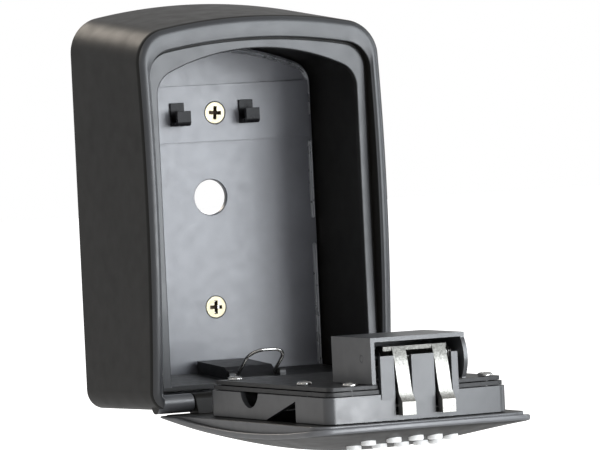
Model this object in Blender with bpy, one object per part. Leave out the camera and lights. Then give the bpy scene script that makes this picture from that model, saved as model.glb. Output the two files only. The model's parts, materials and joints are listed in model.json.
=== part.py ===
"""Wall-mounted push-button key safe, standing open. Metres; +X right, +Y into the wall, +Z up.

The origin is on the wall face, on the centre plane, level with the hinge axis. The door is built
shut, in the frame of an empty on the hinge axis (local Z runs up the door from the hinge, local Y
points into the case), and that empty then turns it open.
"""
import math

import bmesh
import bpy

MM = 0.001

# Case
CASE_WIDTH = 99.4 * MM
CASE_HEIGHT = 147.0 * MM
CASE_DEPTH = 60.4 * MM
FRONT_BOW = 4.9 * MM
TOP_DRAFT = 5.2 * MM
SIDE_DRAFT = 1.2 * MM
BOTTOM_DRAFT = 0.9 * MM
ARCH_RADIUS = 214.0 * MM
SHOULDER_RADIUS = 13.0 * MM
FOOT_RADIUS = 7.0 * MM
EDGE_RADIUS = 3.0 * MM
LEAST_CORNER = 0.8 * MM
RIM_SIDE = 4.3 * MM
RIM_TOP = 8.1 * MM
LEDGE_SIDE = 4.2 * MM
LEDGE_TOP = 3.9 * MM
LEDGE_THICK = 2.5 * MM
LEDGE_ARCH = 85.0 * MM
SIDE_WALL = 3.6 * MM
BACK_WALL = 6.5 * MM
CAVITY_TOP_DROP = 15.5 * MM
CAVITY_ARCH = 100.0 * MM
CASE_FLOOR = 3.0 * MM
INNER_SHOULDER = 9.0 * MM
INNER_FOOT = 3.0 * MM
RECESS_FOOT = 5.0 * MM
LEDGE_FOOT = 7.0 * MM
CAVITY_SPLAY = 0.5 * MM
MOUTH_RISE = 9.0 * MM
MOUTH_INSET = 0.4 * MM
FLANGE_THICK = 1.2 * MM
FLANGE_WIDTH = 5.0 * MM
PLATE_SETBACK = 6.0 * MM
POCKET_WALL = 3.0 * MM
POCKET_DEPTH = 34.0 * MM

# Hinge
HINGE_RISE = 3.0 * MM
HINGE_SETBACK = 4.6 * MM
BARREL_RADIUS = 3.4 * MM
PIN_RADIUS = 1.5 * MM
PIN_FIT = 0.08 * MM
CASE_KNUCKLE = 12.5 * MM
DOOR_KNUCKLE = 4.5 * MM
KNUCKLE_ROOT = 5.4 * MM
KNUCKLE_OUT = 2.4 * MM
OPEN_ANGLE = math.radians(90.0)

# Gaps
GAP = 0.3 * MM
DOOR_GAP = 0.7 * MM
SLIDE_GAP = 0.35 * MM

# Back plate, hook strip and wall screws
PLATE_THICK = 2.0 * MM
BEAD_HEIGHT = 0.8 * MM
BEAD_WIDTH = 1.4 * MM
STRIP_THICK = 1.2 * MM
STRIP_HEIGHT = 20.8 * MM
UPPER_SCREW_X = 2.6 * MM
UPPER_SCREW_Z = 103.6 * MM
LOWER_SCREW_Z = 31.8 * MM
CABLE_HOLE_Z = 72.5 * MM
CABLE_HOLE_RADIUS = 6.5 * MM
HEAD_RADIUS = 4.0 * MM
HEAD_HEIGHT = 2.0 * MM
SHANK_RADIUS = 2.0 * MM
HEAD_EDGE = 0.4 * MM
HOOK_SPACING = 28.0 * MM
HOOK_MIDDLE = 1.0 * MM
HOOK_WIDTH = 5.5 * MM
HOOK_THICK = 1.6 * MM
HOOK_REACH = 6.8 * MM
HOOK_HEIGHT = 8.6 * MM
HOOK_TIP = 5.6 * MM

# Floor tray and wire bail
TRAY_BACK_Z = 8.0 * MM
TRAY_FRONT_Z = 5.8 * MM
TRAY_THICK = 1.6 * MM
CHANNEL_WIDTH = 19.2 * MM
CHANNEL_HEIGHT = 4.4 * MM
CHANNEL_LENGTH = 24.0 * MM
RAMP_LENGTH = 5.0 * MM
BAIL_WIDTH = 14.6 * MM
BAIL_LENGTH = 15.0 * MM
BAIL_WIRE = 0.65 * MM
BAIL_ANGLE = math.radians(142.0)
BAIL_BEND = 4.5 * MM
LUG_WIDTH = 2.4 * MM
LUG_RADIUS = 1.9 * MM
LUG_SETBACK = 2.0 * MM
BAIL_RISE = 2.2 * MM

# Door
BARREL_CLEARANCE = 0.4 * MM
DOOR_DRAFT = 0.2 * MM
CROWN = 6.8 * MM
SKIN = 2.2 * MM
HOUSING_HALF = 35.2 * MM
HOUSING_START = 25.0 * MM
HOUSING_END = 122.0 * MM
HOUSING_TOP = 5.6 * MM
HOUSING_WALL = 1.8 * MM
HOUSING_ARCH = 300.0 * MM
HOUSING_CORNER = 4.0 * MM
HOUSING_FOOT = 3.0 * MM
POCKET_INSET = 1.4 * MM
POCKET_CORNER = 4.0 * MM
COVER_THICK = 1.4 * MM
TAB_HALF = 15.0 * MM
TAB_TOP = 18.8 * MM
SLOT_WIDTH = 6.8 * MM
NOTCH_RADIUS = 7.6 * MM
NOTCH_AT = 58.0 * MM
NOTCH_RISE = 2.2 * MM

# Latch
FINGER_SPACING = 15.5 * MM
FINGER_MIDDLE = 1.4 * MM
FINGER_WIDTH = 5.2 * MM
FINGER_THICK = 2.6 * MM
FINGER_SLOPE = 5.0 * MM
FINGER_FORWARD = 1.8 * MM
SHIN_HIGH = 7.6 * MM
SHIN_BACK = 2.4 * MM
TOE_HIGH = 4.6 * MM
TOE_LENGTH = 3.51 * MM
SOLE_HIGH = 4.0 * MM
HEEL_HIGH = 8.2 * MM
LATCH_HALF = 12.6 * MM
LATCH_PIVOT_UP = 114.0 * MM
LATCH_PIVOT_IN = 18.0 * MM
HUB_RADIUS = 3.0 * MM
BAR_RISE = 3.1 * MM
BAR_THICK = 1.5 * MM
BOX_HALF = 18.2 * MM
BOX_START = 91.0 * MM
BOX_END = 121.4 * MM
BOX_RISE = 7.3 * MM
BOX_WALL = 1.5 * MM
TAIL_LENGTH = 7.0 * MM
TAIL_THICK = 2.0 * MM
LATCH_PIN = 1.25 * MM
LATCH_WIRE = 0.4 * MM
BAR_REACH = 5.0 * MM
FINGER_TIP_UP = 125.6 * MM
FINGER_TIP_IN = -1.8 * MM
COVER_INSET = 0.8 * MM
COVER_SHANK = 1.2 * MM
COVER_HEAD = 2.7 * MM
COVER_HEAD_EDGE = 0.5 * MM
COVER_HEAD_HIGH = 1.1 * MM
COVER_CROSS_DEEP = 0.7 * MM
WINDOW_START = 65.0 * MM
WINDOW_END = 95.0 * MM

# Buttons
BUTTON_RADIUS = 2.65 * MM
BUTTON_PROUD = 1.2 * MM
BUTTON_PITCH = 8.0 * MM
BUTTON_LIP = 0.85 * MM
BUTTON_STEM = 1.3 * MM
BUTTON_CLEARANCE = 0.3 * MM
BUTTON_BEVEL = 0.35 * MM
FLANGE_STEP = 0.9 * MM
GUIDE_START = 92.0 * MM
NEAR_ROW = 117.0 * MM
FAR_ROW = 105.5 * MM
ROW_ARC = 28.0 * MM
GUIDE_THICK = 1.2 * MM
GUIDE_IN = -2.3 * MM
SPRING_WIRE = 0.22 * MM
SPRING_TURNS = 3

# Release slide
KNOB_AT = 62.0 * MM
KNOB_HALF = 9.0 * MM
KNOB_LENGTH = 15.0 * MM
KNOB_PROUD = 0.2 * MM
KNOB_SUNK = 1.2 * MM
RELEASE_TRAVEL = 3.0 * MM
STEM_HALF = 2.2 * MM
LINK_IN = 0.5 * MM
LINK_THICK = 1.2 * MM
LINK_HALF = 5.0 * MM
LINK_TAB_HALF = 2.6 * MM
RELEASE_WIRE = 0.4 * MM
RELEASE_COIL = 2.2 * MM

# Derived places
CASE_LOW = -HINGE_RISE
CASE_HIGH = CASE_HEIGHT - HINGE_RISE
CASE_MID = CASE_LOW + CASE_HEIGHT / 2


def front_y(z):
    """The bowed front of the case: deepest at mid height."""
    return -(CASE_DEPTH - FRONT_BOW * ((z - CASE_MID) / (CASE_HEIGHT / 2)) ** 2)


HINGE_Y = front_y(CASE_LOW) + HINGE_SETBACK
DOOR_INNER = -BARREL_RADIUS - BARREL_CLEARANCE
FRONT_HALF = CASE_WIDTH / 2 - SIDE_DRAFT
RECESS_HALF = FRONT_HALF - RIM_SIDE
RECESS_HIGH = CASE_HIGH - TOP_DRAFT - RIM_TOP
LEDGE_HALF = RECESS_HALF - LEDGE_SIDE
LEDGE_HIGH = RECESS_HIGH - LEDGE_TOP
LEDGE_Y = HINGE_Y + DOOR_INNER + GAP
BACK_HALF = CASE_WIDTH / 2 - BACK_WALL
CAVITY_HIGH = CASE_HIGH - CAVITY_TOP_DROP
CAVITY_LOW = CASE_LOW + CASE_FLOOR
FLANGE_FRONT = -PLATE_SETBACK - FLANGE_THICK
PLATE_BACK = FLANGE_FRONT - GAP
PLATE_FRONT = PLATE_BACK - PLATE_THICK
PLATE_HALF = BACK_HALF - GAP
STRIP_BACK = PLATE_FRONT - GAP
STRIP_FRONT = STRIP_BACK - STRIP_THICK
SWEEP = math.hypot(HINGE_SETBACK, HINGE_RISE) + GAP
FLOOR_FRONT_Y = HINGE_Y + SWEEP + GAP
DOOR_HALF = RECESS_HALF - DOOR_GAP
DOOR_HIGH = RECESS_HIGH - DOOR_GAP
DOOR_MID = (CASE_LOW + DOOR_HIGH) / 2
DOOR_REACH = (DOOR_HIGH - CASE_LOW) / 2
COVER_BACK = HOUSING_TOP + GAP
BOX_TOP = LATCH_PIVOT_IN + BOX_RISE
TOP_PLATE_BACK = COVER_BACK + COVER_THICK + GAP
STACK_TOP = TOP_PLATE_BACK + COVER_THICK
PIN_HALF = RECESS_HALF - DOOR_GAP
MOUTH_TOP = CASE_LOW + MOUTH_RISE
BAIL_Y = FLOOR_FRONT_Y + LUG_RADIUS + LUG_SETBACK
BAIL_Z = TRAY_FRONT_Z + BAIL_RISE
BUTTON_FLANGE = min(BUTTON_RADIUS + BUTTON_LIP, BUTTON_PITCH / 2 - GAP)
FOOT_BEND = 2.2 * BAIL_WIRE
LUG_INNER = BAIL_WIDTH / 2 + FOOT_BEND + GAP
COVER_SCREWS = [(-29 * MM, 90 * MM), (29 * MM, 115 * MM), (-24 * MM, 116 * MM), (29 * MM, 34 * MM),
                (-29 * MM, 34 * MM)]


def material(name, colour, metallic, roughness):
    made = bpy.data.materials.new(name)
    made.use_nodes = True
    shader = made.node_tree.nodes["Principled BSDF"]
    shader.inputs["Base Color"].default_value = (*colour, 1.0)
    shader.inputs["Metallic"].default_value = metallic
    shader.inputs["Roughness"].default_value = roughness
    return made


def add_mesh(name, verts, faces, finish, parent=None, at=(0, 0, 0)):
    mesh = bpy.data.meshes.new(name)
    mesh.from_pydata([tuple(v) for v in verts], [], faces)
    shaped = bmesh.new()
    shaped.from_mesh(mesh)
    bmesh.ops.recalc_face_normals(shaped, faces=shaped.faces)
    shaped.to_mesh(mesh)
    shaped.free()
    mesh.materials.append(finish)
    mesh.shade_smooth()
    mesh.set_sharp_from_angle(angle=math.radians(32))
    made = bpy.data.objects.new(name, mesh)
    made.location = at
    made.parent = parent
    bpy.context.scene.collection.objects.link(made)
    return made


def as_tool(made):
    made.hide_render = True
    made.display_type = "WIRE"
    return made


def boolean(target, tool, operation, solver):
    modifier = target.modifiers.new(tool.name, "BOOLEAN")
    modifier.operation = operation
    modifier.solver = solver
    modifier.object = as_tool(tool)


def cut(target, tool, solver="EXACT"):
    boolean(target, tool, "DIFFERENCE", solver)


def join(target, tool, solver="EXACT"):
    boolean(target, tool, "UNION", solver)


def loft(name, rings, finish, parent=None, closed=False, at=(0, 0, 0)):
    """Skins equal rings of points. A flat end is one face, and a curved end a fan to its middle."""
    count = len(rings[0])
    verts = [p for ring in rings for p in ring]
    faces = []
    last = len(rings) if closed else len(rings) - 1
    for i in range(last):
        a, b = i * count, (i + 1) % len(rings) * count
        for j in range(count):
            k = (j + 1) % count
            faces.append((a + j, a + k, b + k, b + j))
    if not closed:
        for start in (0, (len(rings) - 1) * count):
            ring = verts[start:start + count]
            if any(max(p[i] for p in ring) - min(p[i] for p in ring) < 1e-9 for i in range(3)):
                faces.append(tuple(range(start, start + count)))
                continue
            verts.append([sum(p[i] for p in ring) / count for i in range(3)])
            faces += [(start + j, start + (j + 1) % count, len(verts) - 1) for j in range(count)]
    return add_mesh(name, verts, faces, finish, parent, at)


def box(name, low, high, finish, parent=None, at=(0, 0, 0)):
    ring = [(low[0], low[1]), (high[0], low[1]), (high[0], high[1]), (low[0], high[1])]
    verts = [(x, y, z) for z in (low[2], high[2]) for x, y in ring]
    faces = [(0, 3, 2, 1), (4, 5, 6, 7)] + [(i, (i + 1) % 4, (i + 1) % 4 + 4, i + 4) for i in range(4)]
    return add_mesh(name, verts, faces, finish, parent, at)


def slab(name, outline, low_x, high_x, finish, parent=None, at=(0, 0, 0)):
    """A (y, z) outline carried straight along X."""
    count = len(outline)
    verts = [(x, y, z) for x in (low_x, high_x) for y, z in outline]
    faces = [tuple(range(count)), tuple(range(count, 2 * count))]
    faces += [(i, (i + 1) % count, (i + 1) % count + count, i + count) for i in range(count)]
    return add_mesh(name, verts, faces, finish, parent, at)


def turned(name, profile, axis, finish, parent=None, at=(0, 0, 0), segments=24):
    """Turns (radius, distance) points about the axis letter through the object's origin."""
    rings = []
    for radius, along in profile:
        ring = []
        for i in range(segments):
            angle = 2 * math.pi * i / segments
            a, b = radius * math.cos(angle), radius * math.sin(angle)
            ring.append({"X": (along, a, b), "Y": (a, along, b), "Z": (a, b, along)}[axis])
        rings.append(ring)
    return loft(name, rings, finish, parent, at=at)


def rod(name, radius, start, end, axis, finish, parent=None, at=(0, 0, 0), segments=24):
    return turned(name, [(radius, start), (radius, end)], axis, finish, parent, at, segments)


def arc(centre, radius, start, end, steps):
    """Points of a circle's arc, both ends included; angles in radians."""
    return [(centre[0] + radius * math.cos(start + (end - start) * i / steps),
             centre[1] + radius * math.sin(start + (end - start) * i / steps)) for i in range(steps + 1)]


def arch_outline(half, low, high, radius, shoulder, foot):
    """(x, z) points of a round-shouldered arch, always as many, anticlockwise from its foot."""
    foot_steps, side_steps, shoulder_steps, arch_steps = 4, 8, 6, 14
    arch_low = high - radius
    shoulder_z = arch_low + math.sqrt((radius - shoulder) ** 2 - (half - shoulder) ** 2)
    lean = math.atan2(shoulder_z - arch_low, half - shoulder)
    right = arc((half - foot, low + foot), foot, -math.pi / 2, 0, foot_steps)
    rise = shoulder_z - low - foot
    right += [(half, low + foot + rise * i / side_steps) for i in range(1, side_steps)]
    right += arc((half - shoulder, shoulder_z), shoulder, 0, lean, shoulder_steps)
    top = arc((0, arch_low), radius, lean, math.pi - lean, arch_steps)[1:-1]
    return right + top + [(-x, z) for x, z in reversed(right)]


def offset_outline(half, low, high, radius, shoulder, foot, by):
    """The same arch, smaller by an even border."""
    return arch_outline(half - by, low + by, high - by, radius - by,
                        max(shoulder - by, LEAST_CORNER), max(foot - by, LEAST_CORNER))


def ring_at(outline, depth):
    """An (x, z) outline set at a depth, which is a number or a function of z."""
    return [(x, depth(z) if callable(depth) else depth, z) for x, z in outline]


def bent_tube(name, path, radius, sides, finish, parent=None, at=(0, 0, 0)):
    """A round wire along a list of points."""
    curve = bpy.data.curves.new(name, "CURVE")
    curve.dimensions = "3D"
    curve.bevel_depth = radius
    curve.bevel_resolution = sides
    curve.use_fill_caps = True
    spline = curve.splines.new("POLY")
    spline.points.add(len(path) - 1)
    for point, place in zip(spline.points, path):
        point.co = (*place, 1.0)
    curve.materials.append(finish)
    made = bpy.data.objects.new(name, curve)
    made.location = at
    made.parent = parent
    bpy.context.scene.collection.objects.link(made)
    return made


# ---------------------------------------------------------------- case

def cavity_outline(by):
    """The cavity's arch at the wall, smaller by an even border."""
    return offset_outline(BACK_HALF, CAVITY_LOW, CAVITY_HIGH, CAVITY_ARCH, INNER_SHOULDER, INNER_FOOT, by)


def make_case_shell(finish):
    """One cast skin: outer faces, rounded front edge, rim, recess, ledge, cavity and inset flange."""
    def outer(draft, by, depth):
        outline = offset_outline(CASE_WIDTH / 2 - SIDE_DRAFT * draft, CASE_LOW + BOTTOM_DRAFT * draft,
                                 CASE_HIGH - TOP_DRAFT * draft, ARCH_RADIUS, SHOULDER_RADIUS,
                                 FOOT_RADIUS, by)
        return ring_at(outline, depth)

    rings = [outer(0, 0, 0.0)]
    for step in range(5):
        turn = math.pi / 2 * step / 4
        inset = EDGE_RADIUS * (1 - math.cos(turn))
        back = EDGE_RADIUS * (1 - math.sin(turn))
        rings.append(outer(1, inset, lambda z, back=back: front_y(z) + back))
    recess = arch_outline(RECESS_HALF, CASE_LOW + RECESS_FOOT, RECESS_HIGH, ARCH_RADIUS - RIM_TOP,
                          SHOULDER_RADIUS - EDGE_RADIUS, INNER_FOOT)
    ledge = arch_outline(LEDGE_HALF, CASE_LOW + LEDGE_FOOT, LEDGE_HIGH, LEDGE_ARCH, INNER_SHOULDER, INNER_FOOT)
    cavity_front = arch_outline(FRONT_HALF - SIDE_WALL, CAVITY_LOW, RECESS_HIGH + CAVITY_SPLAY,
                                ARCH_RADIUS / 1.5, INNER_SHOULDER, INNER_FOOT)
    cavity_back = cavity_outline(0)
    window = cavity_outline(FLANGE_WIDTH)
    rings += [ring_at(recess, front_y), ring_at(recess, LEDGE_Y), ring_at(ledge, LEDGE_Y),
              ring_at(ledge, LEDGE_Y + LEDGE_THICK), ring_at(cavity_front, LEDGE_Y + LEDGE_THICK),
              ring_at(cavity_back, FLANGE_FRONT), ring_at(window, FLANGE_FRONT), ring_at(window, -PLATE_SETBACK),
              ring_at(cavity_back, -PLATE_SETBACK), ring_at(cavity_back, 0.0)]
    shell = loft("case_shell", rings, finish, closed=True)
    cut(shell, make_mouth_cutter(finish), "MANIFOLD")
    cut(shell, make_crown_pocket_cutter(finish), "MANIFOLD")
    for side in (-1, 1):
        join(shell, make_case_knuckle(side, finish), "MANIFOLD")
    cut(shell, rod("case_pin_bore", PIN_RADIUS + PIN_FIT, -PIN_HALF - GAP, PIN_HALF + GAP, "X", finish,
                   at=(0, HINGE_Y, 0)), "MANIFOLD")
    return shell


def make_mouth_cutter(finish):
    """Opens the foot of the rim, where the door's foot swings through."""
    half = RECESS_HALF - MOUTH_INSET
    return box("case_mouth", (-half, 2 * front_y(CASE_MID), CASE_LOW - CASE_FLOOR),
               (half, FLOOR_FRONT_Y, MOUTH_TOP), finish)


def make_crown_pocket_cutter(finish):
    """The casting is cored from behind, between its arched roof and the cavity's lower arch."""
    half = BACK_HALF - SHOULDER_RADIUS
    roof = ARCH_RADIUS - POCKET_WALL
    roof_lean = math.asin(half / roof)
    inner = CAVITY_ARCH * 1.4
    inner_lean = math.asin(half / inner)
    top = arc((0, CASE_HIGH - ARCH_RADIUS - TOP_DRAFT), roof, math.pi / 2 - roof_lean,
              math.pi / 2 + roof_lean, 12)
    low = arc((0, RECESS_HIGH + POCKET_WALL - inner), inner, math.pi / 2 + inner_lean,
              math.pi / 2 - inner_lean, 12)
    return loft("case_crown_pocket", [ring_at(top + low, -POCKET_DEPTH), ring_at(top + low, POCKET_WALL)], finish)


def make_case_knuckle(side, finish):
    inner = RECESS_HALF - DOOR_GAP - CASE_KNUCKLE
    outer = RECESS_HALF + SIDE_WALL / 3
    return rod("case_knuckle_" + ("left" if side < 0 else "right"), BARREL_RADIUS,
               min(side * inner, side * outer), max(side * inner, side * outer), "X", finish,
               at=(0, HINGE_Y, 0))


def make_back_plate(finish):
    """Flat plate with a raised bead round its edge, two screw holes and the cable hole."""
    edge, inside = cavity_outline(GAP), cavity_outline(GAP + BEAD_WIDTH)
    rings = [ring_at(edge, PLATE_BACK), ring_at(edge, PLATE_FRONT - BEAD_HEIGHT),
             ring_at(inside, PLATE_FRONT - BEAD_HEIGHT), ring_at(inside, PLATE_FRONT)]
    plate = loft("back_plate", rings, finish)
    cut(plate, sink_tool("back_plate_hole_upper", STRIP_FRONT, finish, UPPER_SCREW_X, UPPER_SCREW_Z))
    cut(plate, sink_tool("back_plate_hole_lower", PLATE_FRONT, finish, 0, LOWER_SCREW_Z))
    cut(plate, rod("cable_hole", CABLE_HOLE_RADIUS, 3 * PLATE_FRONT, -3 * PLATE_FRONT, "Y", finish,
                   at=(0, 0, CABLE_HOLE_Z), segments=32))
    return plate


def plate_half_at(z):
    """Half the width that the bead leaves free at a height."""
    inside = cavity_outline(GAP + BEAD_WIDTH)
    free = PLATE_HALF - BEAD_WIDTH
    for (ax, az), (bx, bz) in zip(inside, inside[1:]):
        if min(ax, bx) >= 0 and az < z <= bz:
            free = min(free, ax + (bx - ax) * (z - az) / (bz - az))
    return free


def sink_tool(name, face, finish, x, z):
    """Countersunk hole that leaves a gap all round the screw whose head sits level with a face."""
    wide, narrow = HEAD_RADIUS + GAP, SHANK_RADIUS + GAP
    profile = [(wide, 2 * face), (wide, face + GAP / 2), (narrow, face + HEAD_HEIGHT + GAP / 2),
               (narrow, PLATE_THICK)]
    return turned(name, profile, "Y", finish, at=(x, 0, z), segments=28)


def make_wall_screw(name, face, x, z, finish):
    """Countersunk cross-head screw, its end level with the back of the case."""
    profile = [(HEAD_RADIUS, face), (HEAD_RADIUS, face + HEAD_EDGE), (SHANK_RADIUS, face + HEAD_HEIGHT),
               (SHANK_RADIUS, -GAP)]
    screw = turned(name, profile, "Y", finish, at=(x, 0, z), segments=28)
    arm, slot, deep = HEAD_RADIUS * 0.62, HEAD_RADIUS * 0.14, HEAD_HEIGHT * 0.6
    for label, (wide, high) in (("a", (arm, slot)), ("b", (slot, arm))):
        cut(screw, box(f"{name}_cross_{label}", (-wide, -deep, -high), (wide, deep, high), finish,
                       at=(x, face, z)))
    return screw


def make_hook_strip(finish):
    """Strip across the plate with two upturned key hooks."""
    low = UPPER_SCREW_Z - STRIP_HEIGHT / 2
    half = plate_half_at(low + STRIP_HEIGHT) - GAP
    strip = box("hook_strip", (-half, STRIP_FRONT, low), (half, STRIP_BACK, low + STRIP_HEIGHT), finish)
    cut(strip, sink_tool("hook_strip_hole", STRIP_FRONT, finish, UPPER_SCREW_X, UPPER_SCREW_Z))
    for side, label in ((-1, "left"), (1, "right")):
        x = HOOK_MIDDLE + side * HOOK_SPACING / 2
        join(strip, slab("hook_" + label, hook_outline(), x - HOOK_WIDTH / 2, x + HOOK_WIDTH / 2, finish))
    return strip


def hook_outline():
    """(y, z) profile: root in the strip, floor with a rounded lower edge, upturned tip."""
    root, front = STRIP_BACK - STRIP_THICK / 2, STRIP_FRONT - HOOK_REACH
    back = STRIP_FRONT - HOOK_THICK * 0.6
    low = UPPER_SCREW_Z - HOOK_HEIGHT / 2
    lower = arc((front + HOOK_THICK, low + HOOK_THICK), HOOK_THICK, math.pi, 1.5 * math.pi, 4)
    return lower + [(root, low), (root, low + HOOK_HEIGHT), (back, low + HOOK_HEIGHT), (back, low + HOOK_THICK),
                    (front + HOOK_THICK, low + HOOK_THICK), (front + HOOK_THICK, low + HOOK_TIP),
                    (front, low + HOOK_TIP)]


def make_floor_tray(finish):
    """Sloping floor liner with a raised middle channel, ramped at its front, and two bail lugs."""
    back = PLATE_FRONT - BEAD_HEIGHT - GAP
    front = FLOOR_FRONT_Y
    tray_half = BACK_HALF - 2 * GAP
    tray = slab("floor_tray", [(front, TRAY_FRONT_Z - TRAY_THICK), (back, TRAY_BACK_Z - TRAY_THICK),
                               (back, TRAY_BACK_Z), (front, TRAY_FRONT_Z)], -tray_half, tray_half, finish)
    slope = (TRAY_BACK_Z - TRAY_FRONT_Z) / (back - front)
    root = TRAY_THICK / 2

    def floor_z(y):
        return TRAY_FRONT_Z + slope * (y - front)

    start, ramp = back - CHANNEL_LENGTH, back - CHANNEL_LENGTH - RAMP_LENGTH
    channel = [(ramp, floor_z(ramp) - root), (back - root, floor_z(back) - root),
               (back - root, floor_z(back) + CHANNEL_HEIGHT), (start, floor_z(start) + CHANNEL_HEIGHT),
               (ramp, floor_z(ramp) + root)]
    join(tray, slab("tray_channel", channel, -CHANNEL_WIDTH / 2, CHANNEL_WIDTH / 2, finish))
    for side, label in ((-1, "left"), (1, "right")):
        low, high = sorted((side * LUG_INNER, side * (LUG_INNER + LUG_WIDTH)))
        lug = [(BAIL_Y - LUG_RADIUS, floor_z(BAIL_Y) - root), (BAIL_Y + LUG_RADIUS, floor_z(BAIL_Y) - root)]
        lug += arc((BAIL_Y, BAIL_Z), LUG_RADIUS, 0, math.pi, 8)
        join(tray, slab("bail_lug_" + label, lug, low, high, finish))
        cut(tray, rod("bail_bore_" + label, BAIL_WIRE + PIN_FIT, low - GAP, high + GAP, "X", finish,
                      at=(0, BAIL_Y, BAIL_Z), segments=12))
    return tray


def make_wire_bail(finish):
    """Round-ended wire loop whose turned-out feet pivot in the tray's lugs."""
    half, foot, bend = BAIL_WIDTH / 2, LUG_INNER + LUG_WIDTH * 0.8, FOOT_BEND
    right = [(foot, 0.0)] + arc((half + bend, bend), bend, -math.pi / 2, -math.pi, 4)
    right += arc((half - BAIL_BEND, BAIL_LENGTH - BAIL_BEND), BAIL_BEND, 0, math.pi / 2, 6)
    flat = right + [(-x, v) for x, v in reversed(right)]
    path = [(x, v * math.cos(BAIL_ANGLE), v * math.sin(BAIL_ANGLE)) for x, v in flat]
    return bent_tube("wire_bail", path, BAIL_WIRE, 2, finish, at=(0, BAIL_Y, BAIL_Z))


# ---------------------------------------------------------------- door

def door_outline(by):
    return offset_outline(DOOR_HALF, CASE_LOW, DOOR_HIGH, ARCH_RADIUS - RIM_TOP,
                          SHOULDER_RADIUS - EDGE_RADIUS - DOOR_GAP, FOOT_RADIUS / 2, by)


def rim_y(s):
    """Outer edge of the door, level with the case's rim, in the door's frame."""
    return front_y(s) - HINGE_Y


def skin_y(x, s):
    """Outer face of the crowned door, in the door's frame."""
    across, along = min(abs(x) / DOOR_HALF, 1.0), min(abs(s - DOOR_MID) / DOOR_REACH, 1.0)
    return rim_y(s) - CROWN * (1 - across ** 2.2) * (1 - along ** 2.2)


def scaled(outline, share):
    return [(x * share, DOOR_MID + (s - DOOR_MID) * share) for x, s in outline]


def on_skin(outline, lift=0.0):
    return [(x, skin_y(x, s) + lift, s) for x, s in outline]


def pocket_outline():
    low = HOUSING_START + POCKET_INSET
    half = HOUSING_HALF - POCKET_INSET
    return arch_outline(half, low, HOUSING_END - POCKET_INSET, 4 * half, POCKET_CORNER, POCKET_CORNER)


def make_door_shell(finish, frame):
    """Crowned cast door: domed skin, thin rim, flat inner border and the hollow behind the housing."""
    edge = door_outline(0)
    rings = [on_skin(scaled(edge, share)) for share in (0.12, 0.3, 0.48, 0.64, 0.78, 0.89, 0.965)]
    rings += [ring_at(edge, rim_y), ring_at(door_outline(DOOR_DRAFT), DOOR_INNER)]
    hollow = pocket_outline()
    middle = ((HOUSING_START + HOUSING_END) / 2)
    rings += [ring_at(hollow, DOOR_INNER), on_skin(hollow, SKIN)]
    for share in (0.85, 0.65, 0.45, 0.25, 0.1):
        rings.append(on_skin([(x * share, middle + (s - middle) * share) for x, s in hollow], SKIN))
    shell = loft("door_shell", rings, finish, frame)
    for side in (-1, 1):
        join(shell, make_door_knuckle(side, finish, frame))
    cut(shell, rod("door_pin_bore", PIN_RADIUS + PIN_FIT, -DOOR_HALF, DOOR_HALF, "X", finish, frame))
    for index, (x, s) in enumerate(button_places()):
        cut(shell, rod(f"button_hole_{index}", BUTTON_RADIUS + BUTTON_CLEARANCE, skin_y(0, DOOR_MID) - CROWN,
                       DOOR_INNER, "Y", finish, frame, at=(x, 0, s), segments=20))
    half = KNOB_HALF + SLIDE_GAP
    cut(shell, box("release_recess", (-half, skin_y(0, KNOB_AT) - CROWN, KNOB_AT - KNOB_LENGTH / 2 - SLIDE_GAP),
                   (half, skin_y(0, KNOB_AT) + KNOB_SUNK, KNOB_AT + KNOB_LENGTH / 2 + RELEASE_TRAVEL + SLIDE_GAP),
                   finish, frame))
    half = STEM_HALF + SLIDE_GAP
    cut(shell, box("release_slot", (-half, skin_y(0, KNOB_AT) - CROWN, KNOB_AT - half),
                   (half, DOOR_INNER, KNOB_AT + half + RELEASE_TRAVEL), finish, frame))
    return shell


def make_door_knuckle(side, finish, frame):
    outer = RECESS_HALF - DOOR_GAP - CASE_KNUCKLE - GAP
    low, high = sorted((side * outer, side * (outer - DOOR_KNUCKLE)))
    root = (DOOR_INNER + rim_y(0)) / 2
    outline = arc((0, 0), BARREL_RADIUS, math.radians(75), math.radians(-75), 10)
    outline += [(root, -KNUCKLE_OUT), (root, KNUCKLE_ROOT)]
    return slab("door_knuckle_" + ("left" if side < 0 else "right"), outline, low, high, finish, frame)


def housing_plate(name, inset, low_y, high_y, finish, frame, start=HOUSING_START):
    """Upright slab over the housing's arched plan, smaller by an even border, perhaps starting further up."""
    low = start + inset if start == HOUSING_START else start
    plan = arch_outline(HOUSING_HALF - inset, low, HOUSING_END - inset, HOUSING_ARCH - inset,
                        HOUSING_CORNER - inset, HOUSING_FOOT - inset)
    return loft(name, [ring_at(plan, low_y), ring_at(plan, high_y)], finish, frame)


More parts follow.
